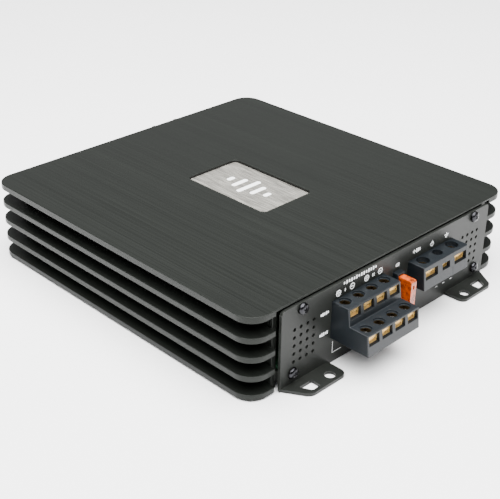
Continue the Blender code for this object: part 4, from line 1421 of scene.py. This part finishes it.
class AMPLIFIER_OT_end_plates(bpy.types.Operator):
    """Model both end plates with their feet"""

    bl_idname = "amplifier.end_plates"
    bl_label = "End plates"

    def execute(self, context):
        for end in (OUTPUT, INPUT):
            build_end_plate(end)
        return {"FINISHED"}


class AMPLIFIER_OT_symbols(bpy.types.Operator):
    """Print the plain symbols on both end plates"""

    bl_idname = "amplifier.symbols"
    bl_label = "Printed symbols"

    def execute(self, context):
        print_output_symbols()
        print_input_symbols()
        return {"FINISHED"}


class AMPLIFIER_OT_screws(bpy.types.Operator):
    """Model and place the pan-head screws"""

    bl_idname = "amplifier.screws"
    bl_label = "Pan-head screws"

    def execute(self, context):
        place_screws()
        return {"FINISHED"}


class AMPLIFIER_OT_terminals(bpy.types.Operator):
    """Model the terminal blocks with their contacts, clamps and screws"""

    bl_idname = "amplifier.terminals"
    bl_label = "Terminals"

    def execute(self, context):
        build_terminals(context.scene.amplifier_looks)
        return {"FINISHED"}


class AMPLIFIER_OT_fuse(bpy.types.Operator):
    """Model the blade fuse and its holder"""

    bl_idname = "amplifier.fuse"
    bl_label = "Blade fuse"

    def execute(self, context):
        build_fuse()
        return {"FINISHED"}


class AMPLIFIER_OT_jacks(bpy.types.Operator):
    """Model the input jacks"""

    bl_idname = "amplifier.jacks"
    bl_label = "Input jacks"

    def execute(self, context):
        build_jacks()
        return {"FINISHED"}


class AMPLIFIER_OT_controls(bpy.types.Operator):
    """Model the dials, the switches and the light"""

    bl_idname = "amplifier.controls"
    bl_label = "Controls"

    def execute(self, context):
        build_controls()
        return {"FINISHED"}


class AMPLIFIER_OT_inside(bpy.types.Operator):
    """Give the parts inside and below their finishes"""

    bl_idname = "amplifier.inside"
    bl_label = "Inside and underside"

    def execute(self, context):
        finish_inside()
        return {"FINISHED"}


class AMPLIFIER_OT_stage(bpy.types.Operator):
    """Set the floor, the lights and the camera"""

    bl_idname = "amplifier.stage"
    bl_label = "Stage"

    def execute(self, context):
        build_stage()
        return {"FINISHED"}


STEPS = (
    AMPLIFIER_OT_housing,
    AMPLIFIER_OT_nameplate,
    AMPLIFIER_OT_end_plates,
    AMPLIFIER_OT_symbols,
    AMPLIFIER_OT_screws,
    AMPLIFIER_OT_terminals,
    AMPLIFIER_OT_fuse,
    AMPLIFIER_OT_jacks,
    AMPLIFIER_OT_controls,
    AMPLIFIER_OT_inside,
    AMPLIFIER_OT_stage,
)


class AMPLIFIER_PT_sidebar(bpy.types.Panel):
    """Lists the amplifier's pieces in the sidebar"""

    bl_idname = "AMPLIFIER_PT_sidebar"
    bl_label = "Car amplifier"
    bl_space_type = "VIEW_3D"
    bl_region_type = "UI"
    bl_category = "Amplifier"

    def draw(self, context):
        looks = context.scene.amplifier_looks
        for name in AmplifierLooks.__annotations__:
            self.layout.prop(looks, name)
        for step in STEPS:
            self.layout.operator(step.bl_idname)


CLASSES = (AmplifierLooks, *STEPS, AMPLIFIER_PT_sidebar)


def register():
    for entry in CLASSES:
        bpy.utils.register_class(entry)
    bpy.types.Scene.amplifier_looks = bpy.props.PointerProperty(type=AmplifierLooks)


def unregister():
    del bpy.types.Scene.amplifier_looks
    for entry in reversed(CLASSES):
        bpy.utils.unregister_class(entry)


def main():
    register()
    for step in STEPS:
        group, name = step.bl_idname.split(".")
        getattr(getattr(bpy.ops, group), name)()


if __name__ == "__main__":
    main()
